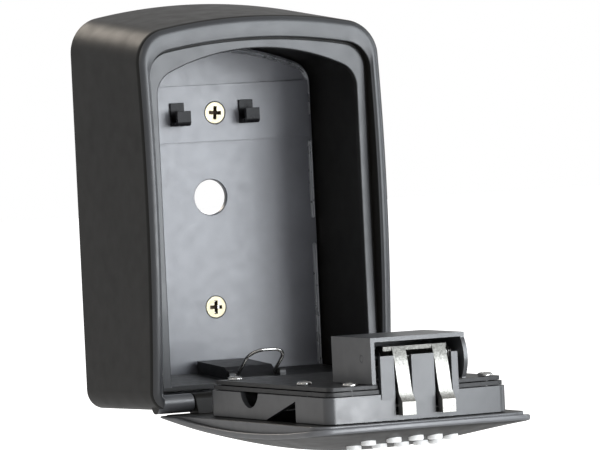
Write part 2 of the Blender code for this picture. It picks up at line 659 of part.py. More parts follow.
def make_housing(finish, frame):
    """Four-walled frame that stands on the door's border and carries the lock's works."""
    low_y = DOOR_INNER + GAP
    frame_box = housing_plate("mechanism_housing", 0, low_y, HOUSING_TOP, finish, frame)
    inner = HOUSING_HALF - HOUSING_WALL
    join(frame_box, box("housing_tab", (-TAB_HALF, HOUSING_TOP - HOUSING_WALL, HOUSING_END - HOUSING_WALL),
                        (TAB_HALF, TAB_TOP, HOUSING_END), finish, frame))
    cut(frame_box, housing_plate("housing_hollow", HOUSING_WALL, low_y - CROWN, TAB_TOP + CROWN, finish, frame))
    for side, label in ((-1, "left"), (1, "right")):
        x = FINGER_MIDDLE + side * FINGER_SPACING / 2
        cut(frame_box, box("finger_slot_" + label,
                           (x - SLOT_WIDTH / 2, low_y + HOUSING_WALL, HOUSING_END - 2 * HOUSING_WALL),
                           (x + SLOT_WIDTH / 2, TAB_TOP + HOUSING_WALL, HOUSING_END + HOUSING_WALL), finish, frame))
    cut(frame_box, rod("housing_notch", NOTCH_RADIUS, -HOUSING_HALF - HOUSING_WALL, -inner + HOUSING_WALL, "X",
                       finish, frame, at=(0, HOUSING_TOP + NOTCH_RISE, NOTCH_AT)))
    window = [(low_y - HOUSING_WALL, WINDOW_START), (HOUSING_TOP - HOUSING_WALL, WINDOW_END),
              (low_y - HOUSING_WALL, WINDOW_END)]
    cut(frame_box, slab("housing_window", window, -HOUSING_HALF - HOUSING_WALL, -inner + HOUSING_WALL,
                        finish, frame))
    return frame_box


def cover(name, back, inset, finish, frame):
    """Flat cover over the housing, cut out at its tip for the latch box and along its middle for the link."""
    plate = housing_plate(name, inset, back, back + COVER_THICK, finish, frame)
    opening = TAB_HALF + GAP
    cut(plate, box(name + "_opening", (-opening, back - COVER_THICK, LATCH_PIVOT_UP - 2 * HUB_RADIUS),
                   (opening, back + 2 * COVER_THICK, HOUSING_END + HOUSING_WALL), finish, frame))
    for index, (x, s) in enumerate(COVER_SCREWS):
        cut(plate, rod(f"{name}_screw_hole_{index}", COVER_SHANK + GAP, back - COVER_THICK, back + 2 * COVER_THICK,
                       "Y", finish, frame, at=(x, 0, s), segments=16))
    return plate


def make_cover_screw(index, x, s, finish, frame):
    """Low domed head on the top plate, shank through both plates."""
    base = STACK_TOP + GAP
    profile = [(COVER_SHANK, HOUSING_TOP - 2 * COVER_THICK), (COVER_SHANK, base), (COVER_HEAD, base),
               (COVER_HEAD, base + COVER_HEAD_EDGE), (COVER_HEAD * 0.7, base + COVER_HEAD_HIGH)]
    screw = turned(f"cover_screw_{index + 1}", profile, "Y", finish, frame, at=(x, 0, s), segments=18)
    arm, slot, bottom = COVER_HEAD * 0.55, COVER_HEAD * 0.13, base + COVER_HEAD_HIGH - COVER_CROSS_DEEP
    for label, size in (("a", (arm, slot)), ("b", (slot, arm))):
        cut(screw, box(f"cover_screw_{index + 1}_cross_{label}", (-size[0], bottom, -size[1]),
                       (size[0], base + 2 * COVER_HEAD_HIGH, size[1]), finish, frame, at=(x, 0, s)))
    return screw


def make_latch_box(finish, frame):
    """Cover over the latch, open at its tip and underneath, with its pivot pin's bores."""
    low = STACK_TOP + GAP
    hood = box("latch_box", (-BOX_HALF, low, BOX_START), (BOX_HALF, BOX_TOP, BOX_END), finish, frame)
    inner = BOX_HALF - BOX_WALL
    cut(hood, box("latch_box_hollow", (-inner, low - BOX_WALL, BOX_START + BOX_WALL),
                  (inner, BOX_TOP - BOX_WALL, BOX_END + BOX_WALL), finish, frame))
    cut(hood, rod("latch_pin_bore", LATCH_PIN + PIN_FIT, -2 * BOX_HALF, 2 * BOX_HALF, "X", finish, frame,
                  at=(0, LATCH_PIVOT_IN, LATCH_PIVOT_UP), segments=16))
    return hood


def make_latch(finish, frame):
    """Hub, top bar and two hooked fingers, drawn back far enough to pass the ledge."""
    hub = rod("latch", HUB_RADIUS, -LATCH_HALF, LATCH_HALF, "X", finish, frame,
              at=(0, LATCH_PIVOT_IN, LATCH_PIVOT_UP), segments=20)
    top, under = BAR_RISE + BAR_THICK / 2, BAR_RISE - BAR_THICK / 2
    bar = [(top, -HUB_RADIUS * 0.2), (top, BAR_REACH), (under, BAR_REACH),
           (-HUB_RADIUS * 0.4, HUB_RADIUS * 0.5)]
    place = (0, LATCH_PIVOT_IN, LATCH_PIVOT_UP)
    join(hub, slab("latch_bar", bar, -LATCH_HALF + GAP, LATCH_HALF - GAP, finish, frame, at=place))
    for side, label in ((-1, "left"), (1, "right")):
        x = FINGER_MIDDLE + side * FINGER_SPACING / 2
        join(hub, slab("latch_finger_" + label, finger_outline(), x - FINGER_WIDTH / 2, x + FINGER_WIDTH / 2,
                       finish, frame, at=place))
    tail = [(0, -TAIL_THICK / 2), (0, TAIL_THICK / 2), (-TAIL_LENGTH, TAIL_THICK / 2),
            (-TAIL_LENGTH, -TAIL_THICK / 2)]
    join(hub, slab("latch_tail", tail, -LINK_TAB_HALF, LINK_TAB_HALF, finish, frame, at=place))
    cut(hub, rod("latch_bore", LATCH_PIN + PIN_FIT, -2 * LATCH_HALF, 2 * LATCH_HALF, "X", finish, frame, at=place,
                 segments=16))
    return hub


def finger_outline():
    """(y, z) from the pivot: forward off the bar, down past the tip wall, then out to the blunt tip."""
    top = BAR_RISE + BAR_THICK / 2
    tip = FINGER_TIP_UP - LATCH_PIVOT_UP
    low = FINGER_TIP_IN - LATCH_PIVOT_IN
    thick = FINGER_THICK
    return [(top, 0.0), (top, BAR_REACH), (top - FINGER_SLOPE, BAR_REACH + FINGER_FORWARD),
            (low + SHIN_HIGH, tip - SHIN_BACK), (low + TOE_HIGH, tip), (low, tip), (low, tip - TOE_LENGTH),
            (low + SOLE_HIGH, tip - TOE_LENGTH), (low + HEEL_HIGH, tip - SHIN_BACK - thick),
            (top - FINGER_SLOPE, BAR_REACH + FINGER_FORWARD - thick), (top - BAR_THICK, BAR_REACH - thick),
            (top - BAR_THICK, 0.0)]


def make_latch_spring(finish, frame):
    """Torsion spring on the latch's pin, in the box beside the hub."""
    radius = (HUB_RADIUS + LATCH_PIN) / 2 + GAP
    start, end = LATCH_HALF + 2 * LATCH_WIRE, BOX_HALF - BOX_WALL - 2 * LATCH_WIRE
    turns = 3
    steps = turns * 12
    path = [(start + (end - start) * i / steps, radius * math.cos(2 * math.pi * i / 12),
             radius * math.sin(2 * math.pi * i / 12)) for i in range(steps + 1)]
    return bent_tube("latch_spring", path, LATCH_WIRE, 1, finish, frame, at=(0, LATCH_PIVOT_IN, LATCH_PIVOT_UP))


def button_places():
    """Two rows of five along arcs that follow the door's arched head."""
    places = []
    for row in (NEAR_ROW, FAR_ROW):
        for column in range(-2, 3):
            x = column * BUTTON_PITCH
            places.append((x, row - ROW_ARC + math.sqrt(ROW_ARC ** 2 - x ** 2)))
    return places


def button_seat(x, s):
    """Depth of the flange's outer face, clear of the sloping skin all round."""
    around = [skin_y(x + BUTTON_FLANGE * math.cos(a), s + BUTTON_FLANGE * math.sin(a))
              for a in (i * math.pi / 4 for i in range(8))]
    return max(around) + SKIN + GAP


def make_button(index, x, s, finish, frame):
    """Cap, retaining flange and stem, with its origin on the stem's axis at the skin."""
    face = skin_y(x, s)
    seat = button_seat(x, s) - face
    profile = [(BUTTON_RADIUS - BUTTON_BEVEL, -BUTTON_PROUD), (BUTTON_RADIUS, -BUTTON_PROUD + BUTTON_BEVEL),
               (BUTTON_RADIUS, seat), (BUTTON_FLANGE, seat), (BUTTON_FLANGE, seat + FLANGE_STEP),
               (BUTTON_STEM, seat + FLANGE_STEP), (BUTTON_STEM, GUIDE_IN + GAP - face)]
    return turned(f"button_{index}", profile, "Y", finish, frame, at=(x, face, s), segments=18)


def make_button_spring(index, x, s, finish, frame):
    """Return spring round a button's stem, from its flange to the guide plate."""
    start = button_seat(x, s) + FLANGE_STEP + SPRING_WIRE + GAP
    end = GUIDE_IN - GUIDE_THICK - SPRING_WIRE - GAP
    radius = BUTTON_STEM + SPRING_WIRE + GAP
    steps = SPRING_TURNS * 8
    path = [(radius * math.cos(i * math.pi / 4), (end - start) * i / steps, radius * math.sin(i * math.pi / 4))
            for i in range(steps + 1)]
    return bent_tube(f"button_spring_{index}", path, SPRING_WIRE, 0, finish, frame, at=(x, start, s))


def make_guide_plate(finish, frame):
    """Flat plate inside the housing that guides the button stems and backs their springs."""
    plate = housing_plate("button_guide_plate", HOUSING_WALL + GAP, GUIDE_IN - GUIDE_THICK, GUIDE_IN, finish,
                          frame, GUIDE_START)
    for index, (x, s) in enumerate(button_places()):
        cut(plate, rod(f"guide_hole_{index}", BUTTON_STEM + GAP, GUIDE_IN - 2 * GUIDE_THICK, GUIDE_IN + GUIDE_THICK,
                       "Y", finish, frame, at=(x, 0, s), segments=14))
    return plate


def make_release_knob(finish, frame):
    """Thumb slide on the outside of the door, with a stem through the slot to the link."""
    back = skin_y(0, KNOB_AT) + KNOB_SUNK - GAP
    front = skin_y(0, KNOB_AT) - KNOB_PROUD
    half = KNOB_LENGTH / 2
    grip = [(back, -half), (front, -half), (front, -half * 0.7), ((front + back) / 2, 0), (front, half * 0.7),
            (front, half), (back, half)]
    knob = slab("release_knob", grip, -KNOB_HALF, KNOB_HALF, finish, frame, at=(0, 0, KNOB_AT))
    join(knob, box("release_stem", (-STEM_HALF, back - GAP, -STEM_HALF),
                   (STEM_HALF, LINK_IN - GAP, STEM_HALF), finish, frame, at=(0, 0, KNOB_AT)))
    return knob


def make_release_link(finish, frame):
    """Flat link from the knob's stem to an upright tab in front of the latch's tail."""
    tab_low = LATCH_PIVOT_UP + TAIL_THICK / 2 + GAP
    link = box("release_link", (-LINK_HALF, LINK_IN, KNOB_AT - LINK_HALF),
               (LINK_HALF, LINK_IN + LINK_THICK, tab_low + LINK_THICK), finish, frame)
    join(link, box("release_tab", (-LINK_TAB_HALF, LINK_IN + LINK_THICK / 2, tab_low),
                   (LINK_TAB_HALF, LATCH_PIVOT_IN - TAIL_LENGTH + TAIL_THICK, tab_low + LINK_THICK), finish, frame))
    return link


def make_release_spring(finish, frame):
    """Return spring between the link's end and the housing's hinge wall."""
    start = KNOB_AT - LINK_HALF - GAP - RELEASE_WIRE
    end = HOUSING_START + HOUSING_WALL + GAP + RELEASE_WIRE
    turns = 7
    steps = turns * 8
    path = [(RELEASE_COIL * math.cos(i * math.pi / 4), RELEASE_COIL * math.sin(i * math.pi / 4),
             start + (end - start) * i / steps) for i in range(steps + 1)]
    return bent_tube("release_spring", path, RELEASE_WIRE, 0, finish, frame,
                     at=(0, LINK_IN + LINK_THICK / 2, 0))


def make_hinge_pin(finish):
    return rod("hinge_pin", PIN_RADIUS, -PIN_HALF, PIN_HALF, "X", finish, at=(0, HINGE_Y, 0), segments=16)


def make_latch_pin(finish, frame):
    return rod("latch_pin", LATCH_PIN, -BOX_HALF, BOX_HALF, "X", finish, frame,
               at=(0, LATCH_PIVOT_IN, LATCH_PIVOT_UP), segments=16)


def build():
    for stale in list(bpy.data.objects):
        bpy.data.objects.remove(stale)
    black = material("black_casting", (0.035, 0.034, 0.033), 0.0, 0.42)
    lining = material("grey_lining", (0.12, 0.125, 0.14), 0.0, 0.38)
    steel = material("bright_steel", (0.62, 0.61, 0.58), 1.0, 0.3)
    zinc = material("cast_zinc", (0.6, 0.6, 0.58), 1.0, 0.34)
    brass = material("yellow_plated_steel", (0.85, 0.78, 0.6), 1.0, 0.3)
    white = material("white_button", (0.8, 0.8, 0.79), 0.0, 0.35)
    make_case_shell(black)
    make_back_plate(lining)
    make_hook_strip(lining)
    make_wall_screw("wall_screw_upper", STRIP_FRONT, UPPER_SCREW_X, UPPER_SCREW_Z, brass)
    make_wall_screw("wall_screw_lower", PLATE_FRONT, 0, LOWER_SCREW_Z, brass)
    make_floor_tray(black)
    make_wire_bail(steel)
    make_hinge_pin(steel)

    frame = bpy.data.objects.new("door_hinge_axis", None)
    bpy.context.scene.collection.objects.link(frame)
    frame.location = (0, HINGE_Y, 0)
    frame.rotation_euler.x = OPEN_ANGLE
    make_door_shell(black, frame)
    make_housing(black, frame)
    cover("lower_cover", COVER_BACK, COVER_INSET, black, frame)
    cover("upper_cover", TOP_PLATE_BACK, 2 * COVER_INSET, black, frame)
    for index, (x, s) in enumerate(COVER_SCREWS):
        make_cover_screw(index, x, s, steel, frame)
    make_latch_box(black, frame)
    make_latch(zinc, frame)
    make_latch_pin(steel, frame)
    make_latch_spring(steel, frame)
    make_guide_plate(zinc, frame)
    for index, (x, s) in enumerate(button_places()):
        make_button(index, x, s, white, frame)
        make_button_spring(index, x, s, steel, frame)
    make_release_knob(black, frame)
    make_release_link(zinc, frame)
    make_release_spring(steel, frame)


build()
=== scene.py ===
"""Looks of a wall-mounted push-button key safe, standing open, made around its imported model.

Metres; +X right, +Y into the wall, +Z up. The origin is on the wall face, level with the door's
hinge. The door lies open along -Y, so a place on it is given as (x, up, along): how far right, how
far above the door's hinge plane, and how far out from the hinge.
"""
import json
import math

import bmesh
import bpy
from mathutils import Matrix, Vector


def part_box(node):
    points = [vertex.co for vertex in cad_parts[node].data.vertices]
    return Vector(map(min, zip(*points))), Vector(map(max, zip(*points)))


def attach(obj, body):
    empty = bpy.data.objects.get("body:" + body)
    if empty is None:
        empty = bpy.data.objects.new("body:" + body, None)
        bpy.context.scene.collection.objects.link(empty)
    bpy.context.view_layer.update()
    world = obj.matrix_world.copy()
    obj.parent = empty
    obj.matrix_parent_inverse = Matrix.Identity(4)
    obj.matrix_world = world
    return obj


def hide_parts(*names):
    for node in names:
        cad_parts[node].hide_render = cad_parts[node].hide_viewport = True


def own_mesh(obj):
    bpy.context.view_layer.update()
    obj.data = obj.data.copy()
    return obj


MM = 0.001
QUARTER = math.pi / 2

# Case: sizes that its box alone doesn't give
HINGE_RISE = 3.0 * MM
FRONT_BOW = 4.9 * MM
TOP_DRAFT = 5.2 * MM
SIDE_DRAFT = 1.2 * MM
BOTTOM_DRAFT = 0.9 * MM
ARCH_RADIUS = 214.0 * MM
SHOULDER_RADIUS = 13.0 * MM
FOOT_RADIUS = 7.0 * MM
EDGE_RADIUS = 3.0 * MM
REAR_EDGE = 0.5 * MM
RIM_SIDE = 4.3 * MM
RIM_TOP = 8.1 * MM
RIM_ROLL = 0.45 * MM
RECESS_FOOT = 5.0 * MM
LEDGE_SIDE = 4.2 * MM
LEDGE_TOP = 3.9 * MM
LEDGE_THICK = 2.5 * MM
LEDGE_ARCH = 85.0 * MM
LEDGE_FOOT = 7.0 * MM
LEDGE_EDGE = 0.5 * MM
GROOVE_WIDTH = 0.8 * MM
GROOVE_DEEP = 0.7 * MM
GROOVE_LIP = ((0.0, 0.6), (0.25, 0.15), (0.7, 0.0))
SIDE_WALL = 3.6 * MM
BACK_WALL = 6.5 * MM
CASE_FLOOR = 3.0 * MM
CAVITY_DROP = 15.5 * MM
CAVITY_ARCH = 100.0 * MM
CAVITY_SPLAY = 0.5 * MM
INNER_SHOULDER = 9.0 * MM
INNER_FOOT = 3.0 * MM
FLANGE_THICK = 1.2 * MM
FLANGE_WIDTH = 5.0 * MM
PLATE_SETBACK = 6.0 * MM
POCKET_WALL = 3.0 * MM
POCKET_DEPTH = 34.0 * MM
POCKET_ARCH = 1.4
MOUTH_RISE = 9.0 * MM
MOUTH_INSET = 0.4 * MM
LEAST_CORNER = 0.8 * MM
# Forward facing beyond which a case face takes the painted light of the front-lit coat
FRONT_LIT_FACING = -0.55

# Hinge
HINGE_SETBACK = 4.6 * MM
BARREL_RADIUS = 3.4 * MM
BARREL_EDGE = 0.35 * MM
PIN_FIT = 0.08 * MM
CASE_KNUCKLE = 12.5 * MM
DOOR_KNUCKLE = 9.0 * MM
KNUCKLE_ROOT = 5.4 * MM
KNUCKLE_OUT = 2.4 * MM
KNUCKLE_TURN = math.radians(75)
KNUCKLE_EDGE = 0.25 * MM
GAP = 0.3 * MM
DOOR_GAP = 0.7 * MM

# Door
DOOR_INNER = -3.8 * MM
DOOR_FOOT = 3.5 * MM
CROWN = 6.8 * MM
CROWN_POWER = 2.2
CROWN_RINGS = (0.03, 0.1, 0.2, 0.3, 0.4, 0.5, 0.6, 0.68, 0.76, 0.82, 0.87, 0.91, 0.945, 0.972)
HOLLOW_RINGS = (0.92, 0.8, 0.65, 0.45, 0.25, 0.08)
SKIN = 2.2 * MM
LIP_HIGH = 2.1 * MM
LIP_INSET = 2.4 * MM
LIP_EDGE = 0.7 * MM
LIP_ROUND_MOST = 0.45
BODY_EDGE = 0.4 * MM
HOUSING_BORDER = 1.4 * MM
POCKET_CORNER = 4.0 * MM
# Upward facing below which the door's band takes the painted light of the barrel coat
LIT_BAND_FACING = 0.9
KNOB_SUNK = 1.2 * MM
KNOB_GAP = 0.35 * MM
KNOB_TRAVEL = 3.0 * MM
STEM_HALF = 2.2 * MM

# Buttons
BUTTONS = 10
BUTTON_RADIUS = 2.65 * MM
BUTTON_CLEARANCE = 0.3 * MM
BUTTON_EDGE = 0.55 * MM
BUTTON_EDGE_TURNS = (0, 22, 45, 67, 90)
BUTTON_DISH = ((0.25, 0.16 * MM), (0.6, 0.06 * MM))
BUTTON_SEAT = 4.45 * MM
BUTTON_STEP = 0.9 * MM
BUTTON_STEM = 1.3 * MM

# Back plate and hook strip
PLATE_EDGE = 0.4 * MM
RIB_FACE = 0.05 * MM
CABLE_HOLE = 6.5 * MM
CABLE_HOLE_LIFT = 4.8 * MM
RIB_WIDTH = 1.8 * MM
RIB_HIGH = 0.75 * MM
RIB_GAP = 3.2 * MM
RIB_DIP = 0.75
RIB_BREAKS = (16.4 * MM, 56.7 * MM, 97.2 * MM)
RIB_END_TURNS = tuple(math.radians(turn) for turn in (25, 50, 80))
STRIP_THICK = 1.2 * MM
STRIP_EDGE = 0.22 * MM
HOOKS_START = 0.2 * MM

# Latch and its box
CHEEK_BULGE = 2.3 * MM
CHEEK_THICK = 1.5 * MM
CHEEK_POWER = 0.8
CHEEK_INSET = 0.05 * MM
HOOD_EDGE = 0.35 * MM
# Heights over which painted shade darkens the zinc upwards, and the share of its colour it keeps
# at the top
ZINC_SHADE_LOW = 13.0 * MM
ZINC_SHADE_HIGH = 19.0 * MM
ZINC_SHADE_LEAST = 0.35

# Wire bail
BAIL_WIRE = 0.65 * MM
BAIL_HALF = 7.3 * MM
BAIL_LENGTH = 15.0 * MM
BAIL_LEAN = math.radians(142.0)
BAIL_LEG = 2.4 * MM
BAIL_FOOT = 1.43 * MM
BAIL_BEND = 5.6 * MM

# Screws: their crosses as shares of the head's radius
CROSS_REACH = 0.62
CROSS_HALF = 0.17
CROSS_DEEP = 0.75
CROSS_STEP = 0.06
CROSS_TAPER = (0.55, 0.45)
CROSS_LEVELS = ((1.0, -0.3), (1.0, 0.0), (0.8, 1.0))
WALL_HEAD_CROWN = 0.06 * MM
WALL_HEAD_EDGE = (0.12 * MM, 0.35 * MM)
WALL_SCREW_SEEDS = {"wall_screw_upper": 3, "wall_screw_lower": 8}
WALL_SCREW_TURN = math.radians(5)
# Depth below the head's top where the painted shade in the cross begins
CROSS_SHADE_START = 0.02 * MM
COVER_DOME = 1.1 * MM
COVER_SHANK = 1.2 * MM
COVER_HEAD = ((1.0, 1.0), (1.0, 0.72), (0.93, 0.42), (0.78, 0.17), (0.55, 0.04), (0.3, 0.0))

# Springs: wire radius and turns
SPRINGS = {"button": (0.22 * MM, 3.0), "release": (0.4 * MM, 7.0), "latch": (0.4 * MM, 3.0)}

# Angles in degrees above which an edge stays sharp
SHARP_LOFT = 32
SHARP_CASTING = 34
SHARP_SMALL = 38
SHARP_ROUNDED = 40
SHARP_WIRE = 50
SHARP_FACETS = 14

# Light and camera; a lamp is name, place, size, power, tint
CAMERA_TURN = math.radians(-25.2)
CAMERA_PITCH = math.radians(1.54)
CAMERA_ROLL = math.radians(-2.74)
CAMERA_DISTANCE = 2.206
CAMERA_LENS = 360.4
AIM_POINT = Vector((0.0, -0.025, 0.070))
AIM_RIGHT = 0.01182
AIM_DOWN = 0.00348
FLOOR_DROP = 0.10
FLOOR_SIZE = 12.0
FLOOR_THICK = 0.01
ROOM_LIGHT = 0.55
FLOOR_GLOW = 0.85
LAMP_AIM = Vector((0, -0.08, 0.06))
LAMPS = (
    ("right_softbox", (1.10, -2.15, 0.62), (1.4, 1.9), 54, (0.90, 0.95, 1.0)),
    ("side_strip", (2.2, -0.45, 0.35), (0.45, 1.6), 11, (0.90, 0.95, 1.0)),
    ("left_softbox", (-1.7, -0.75, 1.35), (0.7, 0.9), 3, (1.0, 0.93, 0.84)),
    ("rear_softbox", (-0.15, 1.7, 0.95), (0.7, 0.35), 7, (1.0, 0.90, 0.78)),
    ("low_fill", (0.15, -1.5, -0.075), (0.7, 0.08), 6, (0.95, 0.97, 1.0)),
)
NOISE_RANGE = (0.3, 0.7)


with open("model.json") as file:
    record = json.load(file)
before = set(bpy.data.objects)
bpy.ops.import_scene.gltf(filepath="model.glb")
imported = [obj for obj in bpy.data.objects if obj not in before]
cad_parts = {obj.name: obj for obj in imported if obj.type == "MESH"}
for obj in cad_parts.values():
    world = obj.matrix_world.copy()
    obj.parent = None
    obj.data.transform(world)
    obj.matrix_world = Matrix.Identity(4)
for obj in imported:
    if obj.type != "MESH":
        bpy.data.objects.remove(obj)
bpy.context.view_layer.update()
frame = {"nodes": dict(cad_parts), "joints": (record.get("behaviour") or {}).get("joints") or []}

case_low, case_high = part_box("case_shell")
door_low, door_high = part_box("door_shell")
pin_low, pin_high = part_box("hinge_pin")

CASE_HALF = case_high.x
CASE_HIGH = case_high.z
CASE_LOW = -HINGE_RISE
CASE_FRONT = case_low.y
CASE_MID = (CASE_LOW + CASE_HIGH) / 2
CASE_REACH = (CASE_HIGH - CASE_LOW) / 2
HINGE_Y = (pin_low.y + pin_high.y) / 2
PIN_RADIUS = (pin_high.z - pin_low.z) / 2
FRONT_HALF = CASE_HALF - SIDE_DRAFT
RECESS_HALF = FRONT_HALF - RIM_SIDE
RECESS_HIGH = CASE_HIGH - TOP_DRAFT - RIM_TOP
LEDGE_HALF = RECESS_HALF - LEDGE_SIDE
LEDGE_HIGH = RECESS_HIGH - LEDGE_TOP
LEDGE_Y = HINGE_Y + DOOR_INNER + GAP
BACK_HALF = CASE_HALF - BACK_WALL
CAVITY_LOW = CASE_LOW + CASE_FLOOR
CAVITY_HIGH = CASE_HIGH - CAVITY_DROP
DOOR_HALF = door_high.x
DOOR_HIGH = RECESS_HIGH - DOOR_GAP
DOOR_MID = (CASE_LOW + DOOR_HIGH) / 2
DOOR_REACH = (DOOR_HIGH - CASE_LOW) / 2
KNUCKLE_SPLIT = RECESS_HALF - DOOR_GAP - CASE_KNUCKLE
BAIL_PIVOT = next(Vector((0, *joint["pos_m"][1:])) for joint in frame["joints"]
                  if joint["name"] == "bail_swing")


def front_y(z):
    """The case's bowed front, furthest out at mid height."""
    return CASE_FRONT + FRONT_BOW * ((z - CASE_MID) / CASE_REACH) ** 2


def on_door(x, up, along):
    return (x, HINGE_Y - along, up)


# ---------------------------------------------------------------- mesh helpers

def new_object(name, data):
    made = bpy.data.objects.new(name, data)
    bpy.context.scene.collection.objects.link(made)
    return made


def turn_outwards(mesh, merge):
    """Merges a mesh's points that coincide and turns its faces outwards."""
    shaped = bmesh.new()
    shaped.from_mesh(mesh)
    bmesh.ops.remove_doubles(shaped, verts=shaped.verts, dist=merge)
    bmesh.ops.recalc_face_normals(shaped, faces=shaped.faces)
    shaped.to_mesh(mesh)
    shaped.free()


def new_mesh(name, verts, faces):
    """A mesh object with its faces turned outwards and its sharp edges marked."""
    mesh = bpy.data.meshes.new(name)
    mesh.from_pydata([tuple(v) for v in verts], [], faces)
    turn_outwards(mesh, 1e-7)
    made = new_object(name, mesh)
    smooth(made, SHARP_LOFT)
    return made


def smooth(piece, angle):
    piece.data.shade_smooth()
    piece.data.set_sharp_from_angle(angle=math.radians(angle))


def even_shading(piece):
    """Lets large flat faces set the shading, so that small rounded edges don't dent it."""
    weighted = piece.modifiers.new("even_shading", "WEIGHTED_NORMAL")
    weighted.mode = "FACE_AREA"
    weighted.keep_sharp = True
    applied(piece)


def loft(name, rings, closed=False):
    """Skins equal rings of points. An open loft's ends are closed with a face or a fan."""
    count = len(rings[0])
    verts = [p for ring in rings for p in ring]
    faces = []
    for i in range(len(rings) if closed else len(rings) - 1):
        a, b = i * count, (i + 1) % len(rings) * count
        faces += [(a + j, a + (j + 1) % count, b + (j + 1) % count, b + j) for j in range(count)]
    if not closed:
        for start in (0, (len(rings) - 1) * count):
            ring = verts[start:start + count]
            if any(max(p[i] for p in ring) - min(p[i] for p in ring) < 1e-9 for i in range(3)):
                faces.append(tuple(range(start, start + count)))
                continue
            verts.append([sum(p[i] for p in ring) / count for i in range(3)])
            faces += [(start + j, start + (j + 1) % count, len(verts) - 1) for j in range(count)]
    return new_mesh(name, verts, faces)


def block(name, low, high):
    ring = [(low[0], low[1]), (high[0], low[1]), (high[0], high[1]), (low[0], high[1])]
    return loft(name, [[(x, y, z) for x, y in ring] for z in (low[2], high[2])])


def turned(name, profile, axis, at, segments=48):
    """Turns (radius, distance) points about an axis letter through a place."""
    rings = []
    for radius, along in profile:
        ring = []
        for i in range(segments):
            a = radius * math.cos(2 * math.pi * i / segments)
            b = radius * math.sin(2 * math.pi * i / segments)
            spot = {"X": (along, a, b), "Y": (a, along, b), "Z": (a, b, along)}[axis]
            ring.append(Vector(spot) + Vector(at))
        rings.append(ring)
    return loft(name, rings)


def arc(centre, radius, start, end, steps):
    turns = [start + (end - start) * i / steps for i in range(steps + 1)]
    return [(centre[0] + radius * math.cos(a), centre[1] + radius * math.sin(a)) for a in turns]


def arch(half, low, high, radius, shoulder, foot, by=0.0):
    """(x, z) points of a round-shouldered arch, smaller by an even border, always as many."""
    half, low, high, radius = half - by, low + by, high - by, radius - by
    shoulder, foot = max(shoulder - by, LEAST_CORNER), max(foot - by, LEAST_CORNER)
    centre_z = high - radius
    shoulder_z = centre_z + math.sqrt((radius - shoulder) ** 2 - (half - shoulder) ** 2)
    lean = math.atan2(shoulder_z - centre_z, half - shoulder)
    right = arc((half - foot, low + foot), foot, -QUARTER, 0, 8)
    rise = shoulder_z - low - foot
    right += [(half, low + foot + rise * i / 20) for i in range(1, 20)]
    right += arc((half - shoulder, shoulder_z), shoulder, 0, lean, 16)
    top = arc((0, centre_z), radius, lean, math.pi - lean, 40)[1:-1]
    return right + top + [(-x, z) for x, z in reversed(right)]


def at_depth(outline, depth):
    return [(x, depth, z) for x, z in outline]


def on_front(outline, back):
    """An (x, z) outline laid a little behind the case's bowed front."""
    return [(x, front_y(z) + back, z) for x, z in outline]


def between(a, b, share):
    return [(p[0] + (q[0] - p[0]) * share, p[1] + (q[1] - p[1]) * share) for p, q in zip(a, b)]


def applied(piece):
    """Turns a piece and its modifiers into one plain mesh."""
    graph = bpy.context.evaluated_depsgraph_get()
    mesh = bpy.data.meshes.new_from_object(piece.evaluated_get(graph))
    piece.modifiers.clear()
    piece.data = mesh
    return piece


def combine(piece, tool, operation, solver):
    modifier = piece.modifiers.new(operation.lower(), "BOOLEAN")
    modifier.operation = operation
    modifier.solver = solver
    modifier.object = tool
    applied(piece)
    bpy.data.objects.remove(tool)


def cut(piece, tool, solver="EXACT"):
    combine(piece, tool, "DIFFERENCE", solver)


def join(piece, tool, solver="EXACT"):
    combine(piece, tool, "UNION", solver)


def merged_copy(node, name):
    """A CAD node's shape as a mesh of its own, its loose triangles merged into flat faces."""
    mesh = frame["nodes"][node].data.copy()
    mesh.materials.clear()
    shaped = bmesh.new()
    shaped.from_mesh(mesh)
    bmesh.ops.remove_doubles(shaped, verts=shaped.verts, dist=2e-6)
    bmesh.ops.dissolve_limit(shaped, angle_limit=math.radians(0.6), verts=shaped.verts,
                             edges=shaped.edges, delimit={"NORMAL"})
    shaped.to_mesh(mesh)
    shaped.free()
    return new_object(name, mesh)


def soften(piece, width, segments=3, angle=35, sharp=SHARP_ROUNDED):
    """Rounds a piece's sharp edges, as moulds, dies and tumbling leave them."""
    bevel = piece.modifiers.new("edge_rounding", "BEVEL")
    bevel.width = width
    bevel.segments = segments
    bevel.limit_method = "ANGLE"
    bevel.angle_limit = math.radians(angle)
    applied(piece)
    smooth(piece, sharp)
    return piece


def finish_piece(piece, body, slot, material, *nodes):
    """Gives a piece its material and body, and stands it in for its CAD nodes."""
    even_shading(piece)
    if material:
        piece.data.materials.clear()
        piece.data.materials.append(material)
    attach(piece, body)
    if nodes:
        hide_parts(*nodes)
    return piece


def repaint(piece, material, chosen):
    """Gives the faces that are chosen by their middle and normal one more material."""
    piece.data.materials.append(material)
    for face in piece.data.polygons:
        if chosen(face.center, face.normal):
            face.material_index = len(piece.data.materials) - 1


# ---------------------------------------------------------------- materials

